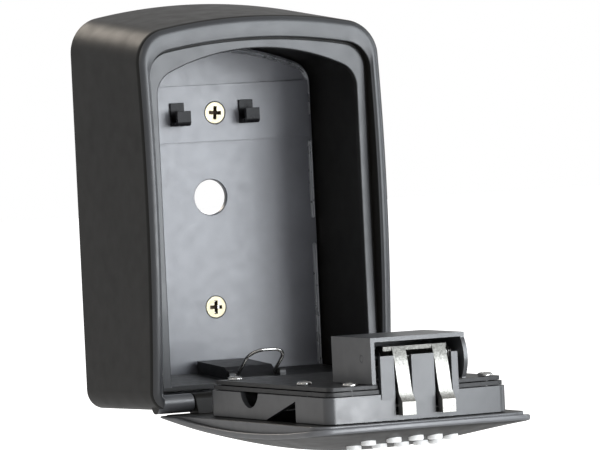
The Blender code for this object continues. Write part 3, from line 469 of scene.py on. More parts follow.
class Finish:
    """A material with one Principled shader and short calls for the nodes that drive it."""

    def __init__(self, name):
        self.material = bpy.data.materials.new(name)
        self.material.use_nodes = True
        self.nodes = self.material.node_tree.nodes
        self.links = self.material.node_tree.links
        self.shader = self.nodes["Principled BSDF"]
        self.place = self.nodes.new("ShaderNodeTexCoord").outputs["Object"]

    def add(self, kind, **values):
        return set_inputs(self.nodes.new(kind), **values)

    def noise(self, scale, detail, roughness=0.5):
        """Fractal noise whose grains are about 1 / scale metres across."""
        noise = self.add("ShaderNodeTexNoise", Scale=scale, Detail=detail, Roughness=roughness)
        self.links.new(self.place, noise.inputs["Vector"])
        return noise.outputs["Fac"]

    def ramp(self, factor, *colours):
        """A colour that runs from the first to the second over a noise's usual range."""
        ramp = self.add("ShaderNodeValToRGB")
        for element, position, colour in zip(ramp.color_ramp.elements, NOISE_RANGE, colours):
            element.position = position
            element.color = (*colour, 1.0)
        self.links.new(factor, ramp.inputs["Fac"])
        return ramp.outputs["Color"]

    def spread(self, factor, low, high, span=NOISE_RANGE):
        """A value that runs from low to high as a factor runs over a span."""
        mapped = self.add("ShaderNodeMapRange", From_Min=span[0], From_Max=span[1],
                          To_Min=low, To_Max=high)
        self.links.new(factor, mapped.inputs["Value"])
        return mapped.outputs["Result"]

    def darker_upwards(self, colour, low, high, least):
        """Lets a colour fade to a share of itself between two heights."""
        parts, scaled_colour = self.add("ShaderNodeSeparateXYZ"), self.add("ShaderNodeVectorMath")
        scaled_colour.operation = "SCALE"
        self.links.new(self.place, parts.inputs["Vector"])
        share = self.spread(parts.outputs["Z"], 1.0, least, (low, high))
        self.links.new(colour, scaled_colour.inputs["Vector"])
        self.links.new(share, scaled_colour.inputs["Scale"])
        return scaled_colour.outputs["Vector"]

    def relief(self, grain, strength, height, below):
        """A bump laid over the one below it, where there is one."""
        bump = self.add("ShaderNodeBump", Strength=strength, Distance=height)
        self.links.new(self.noise(*grain), bump.inputs["Height"])
        if below:
            self.links.new(below, bump.inputs["Normal"])
        return bump.outputs["Normal"]


def set_inputs(node, **values):
    """Sets a node's inputs by name, with an underscore for each space."""
    for socket, value in values.items():
        node.inputs[socket.replace("_", " ")].default_value = value
    return node


def finish(name, tints, shine, *bumps, fade=None, **values):
    """A material whose colour and roughness vary with noise, with bumps laid over each other.

    tints is (grain, dark, light), shine is (grain, smooth, rough) and each bump is (grain,
    strength, height). A grain is a noise's scale, its detail and, unless 0.5, its roughness.
    """
    made = Finish(name)
    set_inputs(made.shader, **values)
    colour = made.ramp(made.noise(*tints[0]), *tints[1:])
    # painted shade: the colour darkens upwards between two heights
    if fade:
        colour = made.darker_upwards(colour, *fade)
    made.links.new(colour, made.shader.inputs["Base Color"])
    roughness = made.spread(made.noise(*shine[0]), *shine[1:])
    made.links.new(roughness, made.shader.inputs["Roughness"])
    normal = None
    for bump in bumps:
        normal = made.relief(*bump, normal)
    if normal:
        made.links.new(normal, made.shader.inputs["Normal"])
    return made.material


# Satin black powder coat over a zinc casting: faint orange peel and dusty variation
COAT = finish(
    "satin_black_coat", ((45, 5, 0.6), (0.0075, 0.0070, 0.0062), (0.0125, 0.0118, 0.0105)),
    ((160, 4), 0.38, 0.46), ((420, 2), 0.35, 0.03 * MM), ((2600, 2), 0.35, 0.012 * MM),
    Specular_IOR_Level=0.22)
# The coat over smooth sheet, a little glossier, and in a much lighter, bluer grey than the coat:
# painted light that stands for the front lamp's reflection
LIT_LINING = finish(
    "lit_lining_coat", ((60, 4, 0.6), (0.095, 0.098, 0.112), (0.125, 0.130, 0.147)),
    ((220, 4), 0.30, 0.38), ((500, 2), 0.3, 0.03 * MM), ((2400, 3), 0.5, 0.016 * MM),
    Specular_IOR_Level=1.0)
# Glossy black dip on the hooks
HOOK_BLACK = finish(
    "glossy_black_dip", ((300, 4), (0.006, 0.006, 0.007), (0.011, 0.011, 0.012)),
    ((500, 3), 0.2, 0.3), ((900, 2), 0.3, 0.02 * MM), Specular_IOR_Level=0.15)
# A lighter, glossier copy of the case's coat: painted light that stands for the front lamps' sheen
# on the rim and front faces
FRONT_LIT_COAT = finish(
    "front_lit_black_coat", ((45, 5, 0.6), (0.017, 0.018, 0.021), (0.026, 0.028, 0.031)),
    ((160, 4), 0.34, 0.42), ((420, 2), 0.3, 0.03 * MM), ((2600, 2), 0.3, 0.012 * MM),
    Specular_IOR_Level=0.75)
# A bright, part-metallic copy of the coat on the plate's raised bead: a painted highlight for the
# bead's bright lines
BEAD_HIGHLIGHT = finish(
    "bead_painted_highlight", ((120, 2), (0.36, 0.37, 0.39), (0.42, 0.43, 0.45)),
    ((200, 2), 0.26, 0.30), Metallic=0.6)
# Satin dark grey, much lighter than the coat, on the hinge barrels and the door's outer band:
# painted light standing for the highlights on them
LIT_BARREL_COAT = finish(
    "lit_barrel_coat", ((90, 4, 0.6), (0.080, 0.082, 0.088), (0.105, 0.108, 0.115)),
    ((260, 4), 0.34, 0.42), ((900, 2), 0.3, 0.02 * MM), Specular_IOR_Level=1.0)
# Black moulded plastic with a fine spark-eroded grain
PLASTIC = finish(
    "moulded_plastic", ((90, 3), (0.012, 0.012, 0.013), (0.020, 0.020, 0.021)),
    ((300, 3), 0.38, 0.48), ((3200, 2), 0.4, 0.012 * MM), Specular_IOR_Level=0.45)
# Bright drawn or turned steel
STEEL = finish(
    "drawn_steel", ((180, 3), (0.42, 0.415, 0.40), (0.52, 0.515, 0.50)),
    ((260, 3), 0.17, 0.24), ((1800, 2), 0.04, 0.004 * MM), Metallic=1.0)
# Glossier black on the lock's own castings, with the faint ripple of a thin dipped coat
GLOSS = finish(
    "semi_gloss_black", ((70, 5, 0.6), (0.034, 0.035, 0.038), (0.050, 0.052, 0.056)),
    ((200, 4), 0.29, 0.38), ((350, 2), 0.4, 0.04 * MM), ((2400, 3), 0.4, 0.014 * MM),
    Specular_IOR_Level=0.95)
# Plated zinc casting with the sparkle and pitting of its as-cast skin, and painted shade that
# darkens it towards the top
ZINC = finish(
    "plated_casting", ((1500, 6, 0.75), (0.15, 0.147, 0.135), (0.50, 0.49, 0.455)),
    ((1300, 5, 0.7), 0.26, 0.50), ((700, 4), 0.35, 0.03 * MM), ((3000, 3), 0.5, 0.02 * MM),
    fade=(ZINC_SHADE_LOW, ZINC_SHADE_HIGH, ZINC_SHADE_LEAST), Metallic=1.0)
# Yellow passivated zinc plate, slightly uneven in tint
PLATED = finish(
    "yellow_zinc_plate", ((500, 4), (0.34, 0.30, 0.20), (0.43, 0.39, 0.28)),
    ((1200, 3), 0.26, 0.40), ((2200, 3), 0.3, 0.012 * MM), Metallic=0.75)
# Dark brown painted shade in the wall screws' crosses
CROSS_SHADE = finish(
    "cross_painted_shade", ((900, 4), (0.040, 0.026, 0.014), (0.130, 0.090, 0.055)),
    ((1200, 3), 0.5, 0.7), Specular_IOR_Level=0.2)
# White moulded button caps
WHITE = finish(
    "white_cap", ((400, 3), (0.90, 0.90, 0.89), (0.96, 0.96, 0.95)),
    ((800, 3), 0.28, 0.38), ((2600, 2), 0.25, 0.01 * MM), Specular_IOR_Level=0.5)


# ---------------------------------------------------------------- case

def outer_outline(draft, by):
    return arch(CASE_HALF - SIDE_DRAFT * draft, CASE_LOW + BOTTOM_DRAFT * draft,
                CASE_HIGH - TOP_DRAFT * draft, ARCH_RADIUS, SHOULDER_RADIUS, FOOT_RADIUS, by)


def recess_outline(by):
    return arch(RECESS_HALF, CASE_LOW + RECESS_FOOT, RECESS_HIGH, ARCH_RADIUS - RIM_TOP,
                SHOULDER_RADIUS - EDGE_RADIUS, INNER_FOOT, by)


def ledge_outline(by):
    return arch(LEDGE_HALF, CASE_LOW + LEDGE_FOOT, LEDGE_HIGH, LEDGE_ARCH, INNER_SHOULDER,
                INNER_FOOT, by)


def cavity_outline(by):
    return arch(BACK_HALF, CAVITY_LOW, CAVITY_HIGH, CAVITY_ARCH, INNER_SHOULDER, INNER_FOOT, by)


def rounded(outline_at, corner, depth, start, radius, steps):
    """Rings round a small edge: insets and depths on a quarter circle about a corner."""
    turns = [start + QUARTER * i / steps for i in range(steps + 1)]
    return [at_depth(outline_at(corner + radius * math.cos(turn)), depth + radius * math.sin(turn))
            for turn in turns]


def make_case_shell():
    """The cast body: drafted sides, rolled rim, grooved recess, ledge, cavity and rear flange."""
    rings = rounded(lambda by: outer_outline(0, by), REAR_EDGE, -REAR_EDGE, QUARTER, REAR_EDGE, 3)
    for step in range(11):
        turn = QUARTER * step / 10
        rings.append(on_front(outer_outline(1, EDGE_RADIUS * (1 - math.cos(turn))),
                              EDGE_RADIUS * (1 - math.sin(turn))))
    rim_start, rim_end = outer_outline(1, EDGE_RADIUS), recess_outline(-LEDGE_EDGE)
    for share in (0.25, 0.5, 0.75, 1.0):
        rings.append(on_front(between(rim_start, rim_end, share), RIM_ROLL * share ** 2))
    for step in (1, 2, 3, 4):
        turn = QUARTER * step / 4
        rings.append(on_front(recess_outline(-LEDGE_EDGE * (1 - math.sin(turn))),
                              RIM_ROLL + LEDGE_EDGE * (1 - math.cos(turn))))
    rings += [at_depth(recess_outline(inset), LEDGE_Y + GROOVE_DEEP)
              for inset in (0, GROOVE_WIDTH)]
    rings += [at_depth(recess_outline(GROOVE_WIDTH + LEDGE_EDGE * inset),
                       LEDGE_Y + LEDGE_EDGE * deep) for inset, deep in GROOVE_LIP]
    rings += rounded(ledge_outline, -LEDGE_EDGE, LEDGE_Y + LEDGE_EDGE, -QUARTER, LEDGE_EDGE, 4)
    cavity_front = arch(FRONT_HALF - SIDE_WALL, CAVITY_LOW, RECESS_HIGH + CAVITY_SPLAY,
                        ARCH_RADIUS / 1.5, INNER_SHOULDER, INNER_FOOT)
    rings += [at_depth(outline, LEDGE_Y + LEDGE_THICK)
              for outline in (ledge_outline(0), cavity_front)]
    flange_front = -PLATE_SETBACK - FLANGE_THICK
    rings += [at_depth(cavity_outline(inset), depth) for inset, depth in (
        (0, flange_front), (FLANGE_WIDTH, flange_front), (FLANGE_WIDTH, -PLATE_SETBACK),
        (0, -PLATE_SETBACK), (0, 0.0))]
    shell = loft("case_body", rings, closed=True)
    half = RECESS_HALF - MOUTH_INSET
    sweep = math.hypot(HINGE_SETBACK, HINGE_RISE) + 2 * GAP
    cut(shell, block("mouth", (-half, 2 * CASE_FRONT, CASE_LOW - CASE_FLOOR),
                     (half, HINGE_Y + sweep, CASE_LOW + MOUTH_RISE)), "MANIFOLD")
    cut(shell, crown_pocket(), "MANIFOLD")
    for side in (-1, 1):
        ends = [(BARREL_RADIUS - BARREL_EDGE, side * KNUCKLE_SPLIT),
                (BARREL_RADIUS, side * (KNUCKLE_SPLIT + BARREL_EDGE)),
                (BARREL_RADIUS, side * (RECESS_HALF + SIDE_WALL / 3))]
        join(shell, turned("case_knuckle", ends, "X", (0, HINGE_Y, 0), 64), "MANIFOLD")
    cut(shell, pin_bore(DOOR_HALF + GAP), "MANIFOLD")
    smooth(shell, SHARP_CASTING)
    finish_piece(shell, "case", "black_casting", COAT, "case_shell")
    # painted light: faces in front of the ledge that face forward take the lighter, glossier coat
    repaint(shell, FRONT_LIT_COAT, lambda middle, normal:
            normal.y < FRONT_LIT_FACING and middle.y < LEDGE_Y + LEDGE_EDGE)
    # painted light: the case's hinge barrels take the lighter barrel coat
    reach = BARREL_RADIUS + LEDGE_EDGE / 10
    repaint(shell, LIT_BARREL_COAT, lambda middle, normal: abs(middle.x) < RECESS_HALF - DOOR_GAP
            and math.hypot(middle.y - HINGE_Y, middle.z) < reach)


def pin_bore(half):
    sides = [(PIN_RADIUS + PIN_FIT, -half), (PIN_RADIUS + PIN_FIT, half)]
    return turned("pin_bore", sides, "X", (0, HINGE_Y, 0))


def crown_pocket():
    """The hollow cored from behind, between the arched roof and the cavity's lower arch."""
    half = BACK_HALF - SHOULDER_RADIUS
    roof, inner = ARCH_RADIUS - POCKET_WALL, CAVITY_ARCH * POCKET_ARCH
    roof_lean, inner_lean = math.asin(half / roof), math.asin(half / inner)
    top = arc((0, CASE_HIGH - ARCH_RADIUS - TOP_DRAFT), roof, QUARTER - roof_lean,
              QUARTER + roof_lean, 24)
    low = arc((0, RECESS_HIGH + POCKET_WALL - inner), inner, QUARTER + inner_lean,
              QUARTER - inner_lean, 24)
    return loft("crown_pocket", [at_depth(top + low, depth)
                                 for depth in (-POCKET_DEPTH, POCKET_WALL)])


def make_back_plate():
    """Flat plate with rounded edges, its holes, and a double rib that breaks off in places."""
    low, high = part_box("back_plate")
    face, edge = low.y + RIB_HIGH + RIB_FACE, PLATE_EDGE
    plate = loft("rear_plate", [at_depth(cavity_outline(inset), depth) for inset, depth in (
        (GAP, high.y), (GAP, face + edge), (GAP + edge * 0.3, face + edge * 0.3),
        (GAP + edge, face))])
    for screw in WALL_SCREW_SEEDS:
        head_low, head_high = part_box(screw)
        centre = (head_low + head_high) / 2
        wide = (head_high.x - head_low.x) / 2 + GAP
        hole = [(wide, head_low.y * 2), (wide, head_low.y + GAP / 2),
                (wide / 2, head_low.y + wide / 2), (wide / 2, -head_low.y)]
        cut(plate, turned("screw_sink", hole, "Y", (centre.x, 0, centre.z)))
    between_screws = (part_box("wall_screw_upper")[0].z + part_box("wall_screw_lower")[1].z) / 2
    bore = [(CABLE_HOLE + edge, 2 * face), (CABLE_HOLE + edge, face - GAP / 4),
            (CABLE_HOLE, face + edge), (CABLE_HOLE, -face)]
    cut(plate, turned("cable_bore", bore, "Y", (0, 0, between_screws + CABLE_HOLE_LIFT), 64))
    for run in rib_runs():
        join(plate, rib(run, face))
    smooth(plate, SHARP_CASTING)
    # painted light: the plate takes the lighter, bluer copy of the coat
    finish_piece(plate, "case", "lining", LIT_LINING, "back_plate")
    # painted highlight: the bead's raised faces take the bright, part-metallic copy of the coat
    repaint(plate, BEAD_HIGHLIGHT, lambda middle, normal: middle.y < face - RIB_HIGH / 10)


def rib_runs():
    """Stretches of the rib's path between its breaks on both sides."""
    runs = [[]]
    for x, z in cavity_outline(GAP + RIB_WIDTH * 0.75):
        if z > CAVITY_LOW + INNER_FOOT and all(abs(z - at) > RIB_GAP / 2 for at in RIB_BREAKS):
            runs[-1].append(Vector((x, 0, z)))
        elif runs[-1]:
            runs.append([])
    return [run for run in runs if len(run) > 1]


def rib(path, face):
    """Two ridges side by side with rounded ends along a path, bedded in the plate's face."""
    radius = RIB_WIDTH / 2

    def rounded_end(tip, inner):
        out = (tip - inner).normalized()
        return [(tip + out * radius * math.sin(turn), math.cos(turn)) for turn in RIB_END_TURNS]

    stations = rounded_end(path[0], path[1])[::-1] + [(spot, 1.0) for spot in path]
    stations += rounded_end(path[-1], path[-2])
    foot = Vector((0, face + RIB_HIGH / 2, 0))
    rings = []
    for i, (spot, size) in enumerate(stations):
        ahead = stations[min(i + 1, len(stations) - 1)][0] - stations[max(i - 1, 0)][0]
        side = ahead.normalized().cross(Vector((0, 1, 0)))
        ring = []
        for step in range(13):
            across = math.cos(math.pi * step / 12)
            off = 2 * abs(across) - 1
            high = RIB_HIGH * (1 - off ** 2 * (1.0 if off > 0 else RIB_DIP))
            ring.append(spot + side * radius * size * across + Vector((0, face - high * size, 0)))
        rings.append(ring + [spot + side * way * size + foot for way in (-radius, radius)])
    return loft("rib", rings)


# ---------------------------------------------------------------- door

def door_outline(by):
    return arch(DOOR_HALF, CASE_LOW, DOOR_HIGH, ARCH_RADIUS - RIM_TOP,
                SHOULDER_RADIUS - EDGE_RADIUS - DOOR_GAP, DOOR_FOOT, by)


def rim_up(along):
    """Height of the door's outer edge, which lies level with the case's rim when shut."""
    return front_y(along) - HINGE_Y


def skin_up(x, along):
    """Height of the crowned outer face."""
    across = min(abs(x) / DOOR_HALF, 1.0)
    length = min(abs(along - DOOR_MID) / DOOR_REACH, 1.0)
    return (rim_up(along)
            - CROWN * (1 - across ** CROWN_POWER) * (1 - length ** CROWN_POWER))


def lip_up(along):
    """Height of the stepped lip round the door's edge."""
    return min(rim_up(along) + LIP_HIGH, DOOR_INNER - BODY_EDGE)


def lip_round(along):
    """Height of each of the lip's two rounded edges, which never meet."""
    return min(LIP_EDGE, (lip_up(along) - rim_up(along)) * LIP_ROUND_MOST)


def door_ring(outline, up):
    """An (x, along) outline laid on the door at a height, a number or a function of (x, along)."""
    return [on_door(x, up(x, s) if callable(up) else up, s) for x, s in outline]


def scaled(outline, share, middle):
    return [(x * share, middle + (s - middle) * share) for x, s in outline]


def make_door_shell():
    """Crowned cast door with a stepped lip round its edge and a hollow under the lock's works."""
    rings = [door_ring(scaled(door_outline(0), share, DOOR_MID), skin_up) for share in CROWN_RINGS]
    for share in (0.25, 0.5, 0.75, 1.0):
        inset, rise = 1 - math.sin(QUARTER * share), 1 - math.cos(QUARTER * share)
        rings.append([on_door(x, rim_up(s) + lip_round(s) * rise, s)
                      for x, s in door_outline(LIP_EDGE * inset)])
    for share in (0.0, 0.25, 0.5, 0.75, 1.0):
        inset, drop = 1 - math.cos(QUARTER * share), 1 - math.sin(QUARTER * share)
        rings.append([on_door(x, lip_up(s) - lip_round(s) * drop, s)
                      for x, s in door_outline(LIP_EDGE * inset)])
    rings += [door_ring(door_outline(LIP_INSET), lambda x, s: lip_up(s)),
              door_ring(door_outline(LIP_INSET), DOOR_INNER - BODY_EDGE / 2),
              door_ring(door_outline(LIP_INSET + BODY_EDGE * 0.3), DOOR_INNER - BODY_EDGE * 0.12),
              door_ring(door_outline(LIP_INSET + BODY_EDGE), DOOR_INNER)]
    house_low, house_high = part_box("mechanism_housing")
    half = house_high.x - HOUSING_BORDER
    start = HINGE_Y - house_high.y + HOUSING_BORDER
    end = HINGE_Y - house_low.y - HOUSING_BORDER
    hollow = arch(half, start, end, 4 * half, POCKET_CORNER, POCKET_CORNER)
    floors = [hollow] + [scaled(hollow, share, (start + end) / 2) for share in HOLLOW_RINGS]
    rings.append(door_ring(hollow, DOOR_INNER))
    rings += [door_ring(floor, lambda x, s: skin_up(x, s) + SKIN) for floor in floors]
    shell = loft("door_body", rings)
    for side in (-1, 1):
        join(shell, door_knuckle(side))
    cut(shell, pin_bore(DOOR_HALF))
    hole = BUTTON_RADIUS + BUTTON_CLEARANCE
    for index in range(BUTTONS):
        low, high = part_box(f"button_{index}")
        centre = (low + high) / 2
        sides = [(hole, 3 * low.z), (hole, DOOR_INNER)]
        cut(shell, turned("button_hole", sides, "Z", (centre.x, centre.y, 0), 40))
    low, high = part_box("release_knob")
    middle = (HINGE_Y - low.y + HINGE_Y - high.y) / 2
    recess_top = skin_up(0, middle) + KNOB_SUNK
    cut(shell, block("knob_recess",
                     (low.x - KNOB_GAP, low.y - KNOB_TRAVEL - KNOB_GAP, low.z - CROWN),
                     (high.x + KNOB_GAP, high.y + KNOB_GAP, recess_top)))
    stem = STEM_HALF + KNOB_GAP
    cut(shell, block("stem_slot", (-stem, HINGE_Y - middle - stem - KNOB_TRAVEL, low.z - CROWN),
                     (stem, HINGE_Y - middle + stem, DOOR_INNER)))
    smooth(shell, SHARP_CASTING)
    finish_piece(shell, "door", "black_casting", COAT, "door_shell")
    # painted light: the door's outer band, where it doesn't face up, takes the lighter barrel coat
    repaint(shell, LIT_BARREL_COAT, lambda middle, normal: middle.z > rim_up(HINGE_Y - middle.y)
            and normal.z < LIT_BAND_FACING and on_edge(middle))


def on_edge(middle):
    """Whether a place is on the door's outer band: near the outline's sides or its far end."""
    return (abs(middle.x) > DOOR_HALF - LIP_INSET
            or HINGE_Y - middle.y > DOOR_HIGH - SHOULDER_RADIUS)


def door_knuckle(side):
    outer = KNUCKLE_SPLIT - GAP
    root = (DOOR_INNER + rim_up(0)) / 2
    outline = arc((0, 0), BARREL_RADIUS, KNUCKLE_TURN, -KNUCKLE_TURN, 28)
    outline += [(root, -KNUCKLE_OUT), (root, KNUCKLE_ROOT)]
    ends = sorted((side * outer, side * (outer - DOOR_KNUCKLE)))
    knuckle = loft("door_knuckle", [[on_door(x, up, along) for up, along in outline]
                                    for x in ends])
    return soften(knuckle, KNUCKLE_EDGE, 2, 50)


# ---------------------------------------------------------------- carried-over shapes

def make_softened(node, name, body, slot, material, width, sharp=SHARP_ROUNDED):
    piece = soften(merged_copy(node, name), width, sharp=sharp)
    return finish_piece(piece, body, slot, material, node)


def make_hook_strip():
    """The strip is lined like the plate; the hooks that stand out of it are glossy black."""
    # painted light: the strip takes the plate's lighter, bluer copy of the coat
    strip = make_softened("hook_strip", "hook_bracket", "case", "lining", LIT_LINING, STRIP_EDGE)
    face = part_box("hook_strip")[1].y - STRIP_THICK
    repaint(strip, HOOK_BLACK, lambda middle, normal: middle.y < face - HOOKS_START)


def make_latch_box():
    """Hood over the latch, with the bulged cheek that guards its right-hand side."""
    low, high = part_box("latch_box")
    hood = merged_copy("latch_box", "latch_hood")
    end = HINGE_Y - low.y
    rise = high.z - low.z
    outline = [(high.z - CHEEK_THICK, end - 3 * CHEEK_BULGE)]
    for i in range(17):
        share = i / 16
        bulge = (CHEEK_BULGE + GAP) * math.sin(math.pi * share) ** CHEEK_POWER
        outline.append((high.z - CHEEK_THICK - (rise - CHEEK_THICK) * share, end - GAP + bulge))
    outline.append((low.z, end - 3 * CHEEK_BULGE))
    sides = (high.x - CHEEK_THICK - CHEEK_INSET, high.x - CHEEK_INSET)
    cheek = loft("cheek", [[on_door(x, up, along) for up, along in outline] for x in sides])
    join(hood, cheek)
    soften(hood, HOOD_EDGE)
    finish_piece(hood, "door", "black_casting", GLOSS, "latch_box")


# ---------------------------------------------------------------- repeated pieces

def socket_id(tree, name):
    return next(item.identifier for item in tree.interface.items_tree
                if item.item_type == "SOCKET" and item.in_out == "INPUT" and item.name == name)


def grow(name, tree, places=((0, 0, 0),), **values):
    """Runs a Geometry Nodes tree on a few points and keeps the result as a plain mesh."""
    mesh = bpy.data.meshes.new(name)
    mesh.from_pydata([tuple(p) for p in places], [], [])
    made = new_object(name, mesh)
    modifier = made.modifiers.new(tree.name, "NODES")
    modifier.node_group = tree
    for key, value in values.items():
        modifier[socket_id(tree, key.replace("_", " "))] = value
    return applied(made)


def new_tree(name, **inputs):
    """A Geometry Nodes tree with named inputs; gives the tree and its input node."""
    tree = bpy.data.node_groups.new(name, "GeometryNodeTree")
    tree.is_modifier = True
    for way in ("INPUT", "OUTPUT"):
        tree.interface.new_socket("Geometry", in_out=way, socket_type="NodeSocketGeometry")
    for label, kind in inputs.items():
        tree.interface.new_socket(label.replace("_", " "), in_out="INPUT",
                                  socket_type="NodeSocket" + kind)
    return tree, tree.nodes.new("NodeGroupInput")


def end_tree(tree, geometry, given):
    """Ends a tree with real meshes in the given material."""
    add, link = tree.nodes.new, tree.links.new
    realize, paint = add("GeometryNodeRealizeInstances"), add("GeometryNodeSetMaterial")
    link(geometry, realize.inputs["Geometry"])
    link(realize.outputs["Geometry"], paint.inputs["Geometry"])
    link(given.outputs["Material"], paint.inputs["Material"])
    link(paint.outputs["Geometry"], add("NodeGroupOutput").inputs["Geometry"])
    return tree


def coil_tree():
    """A coil spring: a spiral of wire along Z, closed at its ends, turned and set in place."""
    tree, given = new_tree("coil_spring", Turns="Float", Coil_Radius="Float", Length="Float",
                           Wire_Radius="Float", Place="Vector", Turn="Vector",
                           Material="Material")
    add, link = tree.nodes.new, tree.links.new
    spiral, wire = add("GeometryNodeCurveSpiral"), add("GeometryNodeCurvePrimitiveCircle")
    sweep, move = add("GeometryNodeCurveToMesh"), add("GeometryNodeTransform")
    set_inputs(spiral, Resolution=28)
    set_inputs(wire, Resolution=10)
    set_inputs(sweep, Fill_Caps=True)
    for label, socket in (("Turns", "Rotations"), ("Coil Radius", "Start Radius"),
                          ("Coil Radius", "End Radius"), ("Length", "Height")):
        link(given.outputs[label], spiral.inputs[socket])
    link(given.outputs["Wire Radius"], wire.inputs["Radius"])
    link(spiral.outputs["Curve"], sweep.inputs["Curve"])
    link(wire.outputs["Curve"], sweep.inputs["Profile Curve"])
    link(sweep.outputs["Mesh"], move.inputs["Geometry"])
    link(given.outputs["Place"], move.inputs["Translation"])
    link(given.outputs["Turn"], move.inputs["Rotation"])
    return end_tree(tree, move.outputs["Geometry"], given)


def set_out_tree():
    """One pattern piece set on every given point, each turned about an axis by a seeded amount."""
    tree, given = new_tree("set_out_on_points", Pattern="Object", Axis="Vector",
                           Most_Turn="Float", Seed="Int", Material="Material")
    add, link = tree.nodes.new, tree.links.new
    source, copies = add("GeometryNodeObjectInfo"), add("GeometryNodeInstanceOnPoints")
    chance, turn = add("FunctionNodeRandomValue"), add("FunctionNodeAxisAngleToRotation")
    chance.data_type = "FLOAT"
    source.inputs["As Instance"].default_value = True
    link(given.outputs["Pattern"], source.inputs["Object"])
    link(given.outputs["Geometry"], copies.inputs["Points"])
    link(source.outputs["Geometry"], copies.inputs["Instance"])
    link(given.outputs["Most Turn"], chance.inputs[3])
    link(given.outputs["Seed"], chance.inputs["Seed"])
    link(given.outputs["Axis"], turn.inputs["Axis"])
    link(chance.outputs[1], turn.inputs["Angle"])
    link(turn.outputs["Rotation"], copies.inputs["Rotation"])
    return end_tree(tree, copies.outputs["Instances"], given)


COIL = coil_tree()
SET_OUT = set_out_tree()


def set_out(name, pattern, places, axis, turn, seed, material):
    """Sets a pattern piece on places and removes the pattern."""
    made = grow(name, SET_OUT, places, Pattern=pattern, Axis=axis, Most_Turn=turn, Seed=seed,
                Material=material)
    bpy.data.objects.remove(pattern)
    smooth(made, SHARP_SMALL)
    return made


def cross_cut(head, radius, top, letter, way):
    """A cross recess with tapering arms, sunk from the head's top down its axis (1 or -1 way)."""
    reach, half, deep = radius * CROSS_REACH, radius * CROSS_HALF, radius * CROSS_DEEP
    for across in (0, 1):
        rings = []
        for share, level in CROSS_LEVELS:
            wide, high = reach * share, half * (CROSS_TAPER[0] + CROSS_TAPER[1] * share)
            if across:
                wide, high = high, wide
            corners = [(-wide, -high), (wide, -high), (wide, high), (-wide, high)]
            along = top - way * deep * level * (1 - CROSS_STEP * across)
            rings.append([{"Y": (a, along, b), "Z": (a, b, along)}[letter] for a, b in corners])
        cut(head, loft("cross", rings), "MANIFOLD")


def make_wall_screw(name, seed):
    """A countersunk cross-head screw, turned as it was left, with painted shade in its cross."""
    low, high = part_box(name)
    centre, radius, length = (low + high) / 2, (high.x - low.x) / 2, high.y - low.y
    profile = [(radius * 0.9, -WALL_HEAD_CROWN), (radius * 0.98, 0.0)]
    profile += [(radius, depth) for depth in WALL_HEAD_EDGE]
    profile += [(radius * 0.5, radius * 0.5), (radius * 0.5, length)]
    pattern = turned("screw_pattern", profile, "Y", (0, 0, 0))
    cross_cut(pattern, radius, -WALL_HEAD_CROWN, "Y", -1)
    screw = set_out(name.replace("wall", "yellow"), pattern, [(centre.x, low.y, centre.z)],
                    (0, 1, 0), WALL_SCREW_TURN, seed, PLATED)
    finish_piece(screw, "case", "plated_screw", None, name)
    # painted shade: the faces down in the cross take a dark brown
    cross_shade_end = radius * CROSS_DEEP * 1.1
    repaint(screw, CROSS_SHADE, lambda middle, normal: CROSS_SHADE_START < middle.y - low.y < cross_shade_end
            and math.hypot(middle.x - centre.x, middle.z - centre.z) < radius * CROSS_REACH)


def make_cover_screws():
    """Low domed cross-head screws on the covers, all from one pattern."""
    names = [f"cover_screw_{n}" for n in range(1, 6)]
    boxes = [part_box(name) for name in names]
    low, high = boxes[0]
    radius, length = (high.x - low.x) / 2, high.z - low.z
    profile = [(COVER_SHANK, -length), (COVER_SHANK, -COVER_DOME)]
    profile += [(radius * wide, -COVER_DOME * deep) for wide, deep in COVER_HEAD]
    pattern = turned("cover_screw_pattern", profile, "Z", (0, 0, 0), 40)
    cross_cut(pattern, radius * 0.8, 0.0, "Z", 1)
    places = [((a.x + b.x) / 2, (a.y + b.y) / 2, b.z) for a, b in boxes]
    screws = set_out("cover_screws", pattern, places, (0, 0, 1), QUARTER, 5, STEEL)
    finish_piece(screws, "door", "steel", None, *names)


def make_button(index):
    """A cap with a rolled edge and a shallow dish, on its own body."""
    low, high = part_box(f"button_{index}")
    centre, flange = (low + high) / 2, (high.x - low.x) / 2
    profile = [(BUTTON_RADIUS * share, depth) for share, depth in BUTTON_DISH]
    profile += [(BUTTON_RADIUS - BUTTON_EDGE + BUTTON_EDGE * math.sin(math.radians(turn)),
                 BUTTON_EDGE - BUTTON_EDGE * math.cos(math.radians(turn)))
                for turn in BUTTON_EDGE_TURNS]
    profile += [(BUTTON_RADIUS, BUTTON_SEAT), (flange, BUTTON_SEAT),
                (flange, BUTTON_SEAT + BUTTON_STEP), (BUTTON_STEM, BUTTON_SEAT + BUTTON_STEP),
                (BUTTON_STEM, high.z - low.z)]
    pattern = turned("button_pattern", profile, "Z", (0, 0, 0), 44)
    cap = set_out(f"button_cap_{index}", pattern, [(centre.x, centre.y, low.z)], (0, 0, 1), 0.0,
                  1, WHITE)
    finish_piece(cap, f"button_{index}_body", "white_button", None, f"button_{index}")


def make_button_spring(index):
    """A coil behind a button, with a mesh of its own."""
    coil = make_spring(f"button_spring_{index}", "Z")
    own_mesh(coil)


def make_spring(node, axis):
    """A coil that fills its CAD node's box along the given axis."""
    low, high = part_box(node)
    wire, turns = SPRINGS[node.split("_")[0]]
    number, across = "XYZ".index(axis), 1 if axis == "X" else 0
    place = (low + high) / 2
    place[number] = low[number] + wire
    turn = {"X": (0, QUARTER, 0), "Y": (-QUARTER, 0, 0), "Z": (0, 0, 0)}[axis]
    coil = grow(node.replace("spring", "coil"), COIL, Turns=turns,
                Coil_Radius=(high[across] - low[across]) / 2 - wire,
                Length=high[number] - low[number] - 2 * wire, Wire_Radius=wire, Place=place,
                Turn=turn, Material=STEEL)
    smooth(coil, SHARP_WIRE)
    return finish_piece(coil, "door", "steel", None, node)


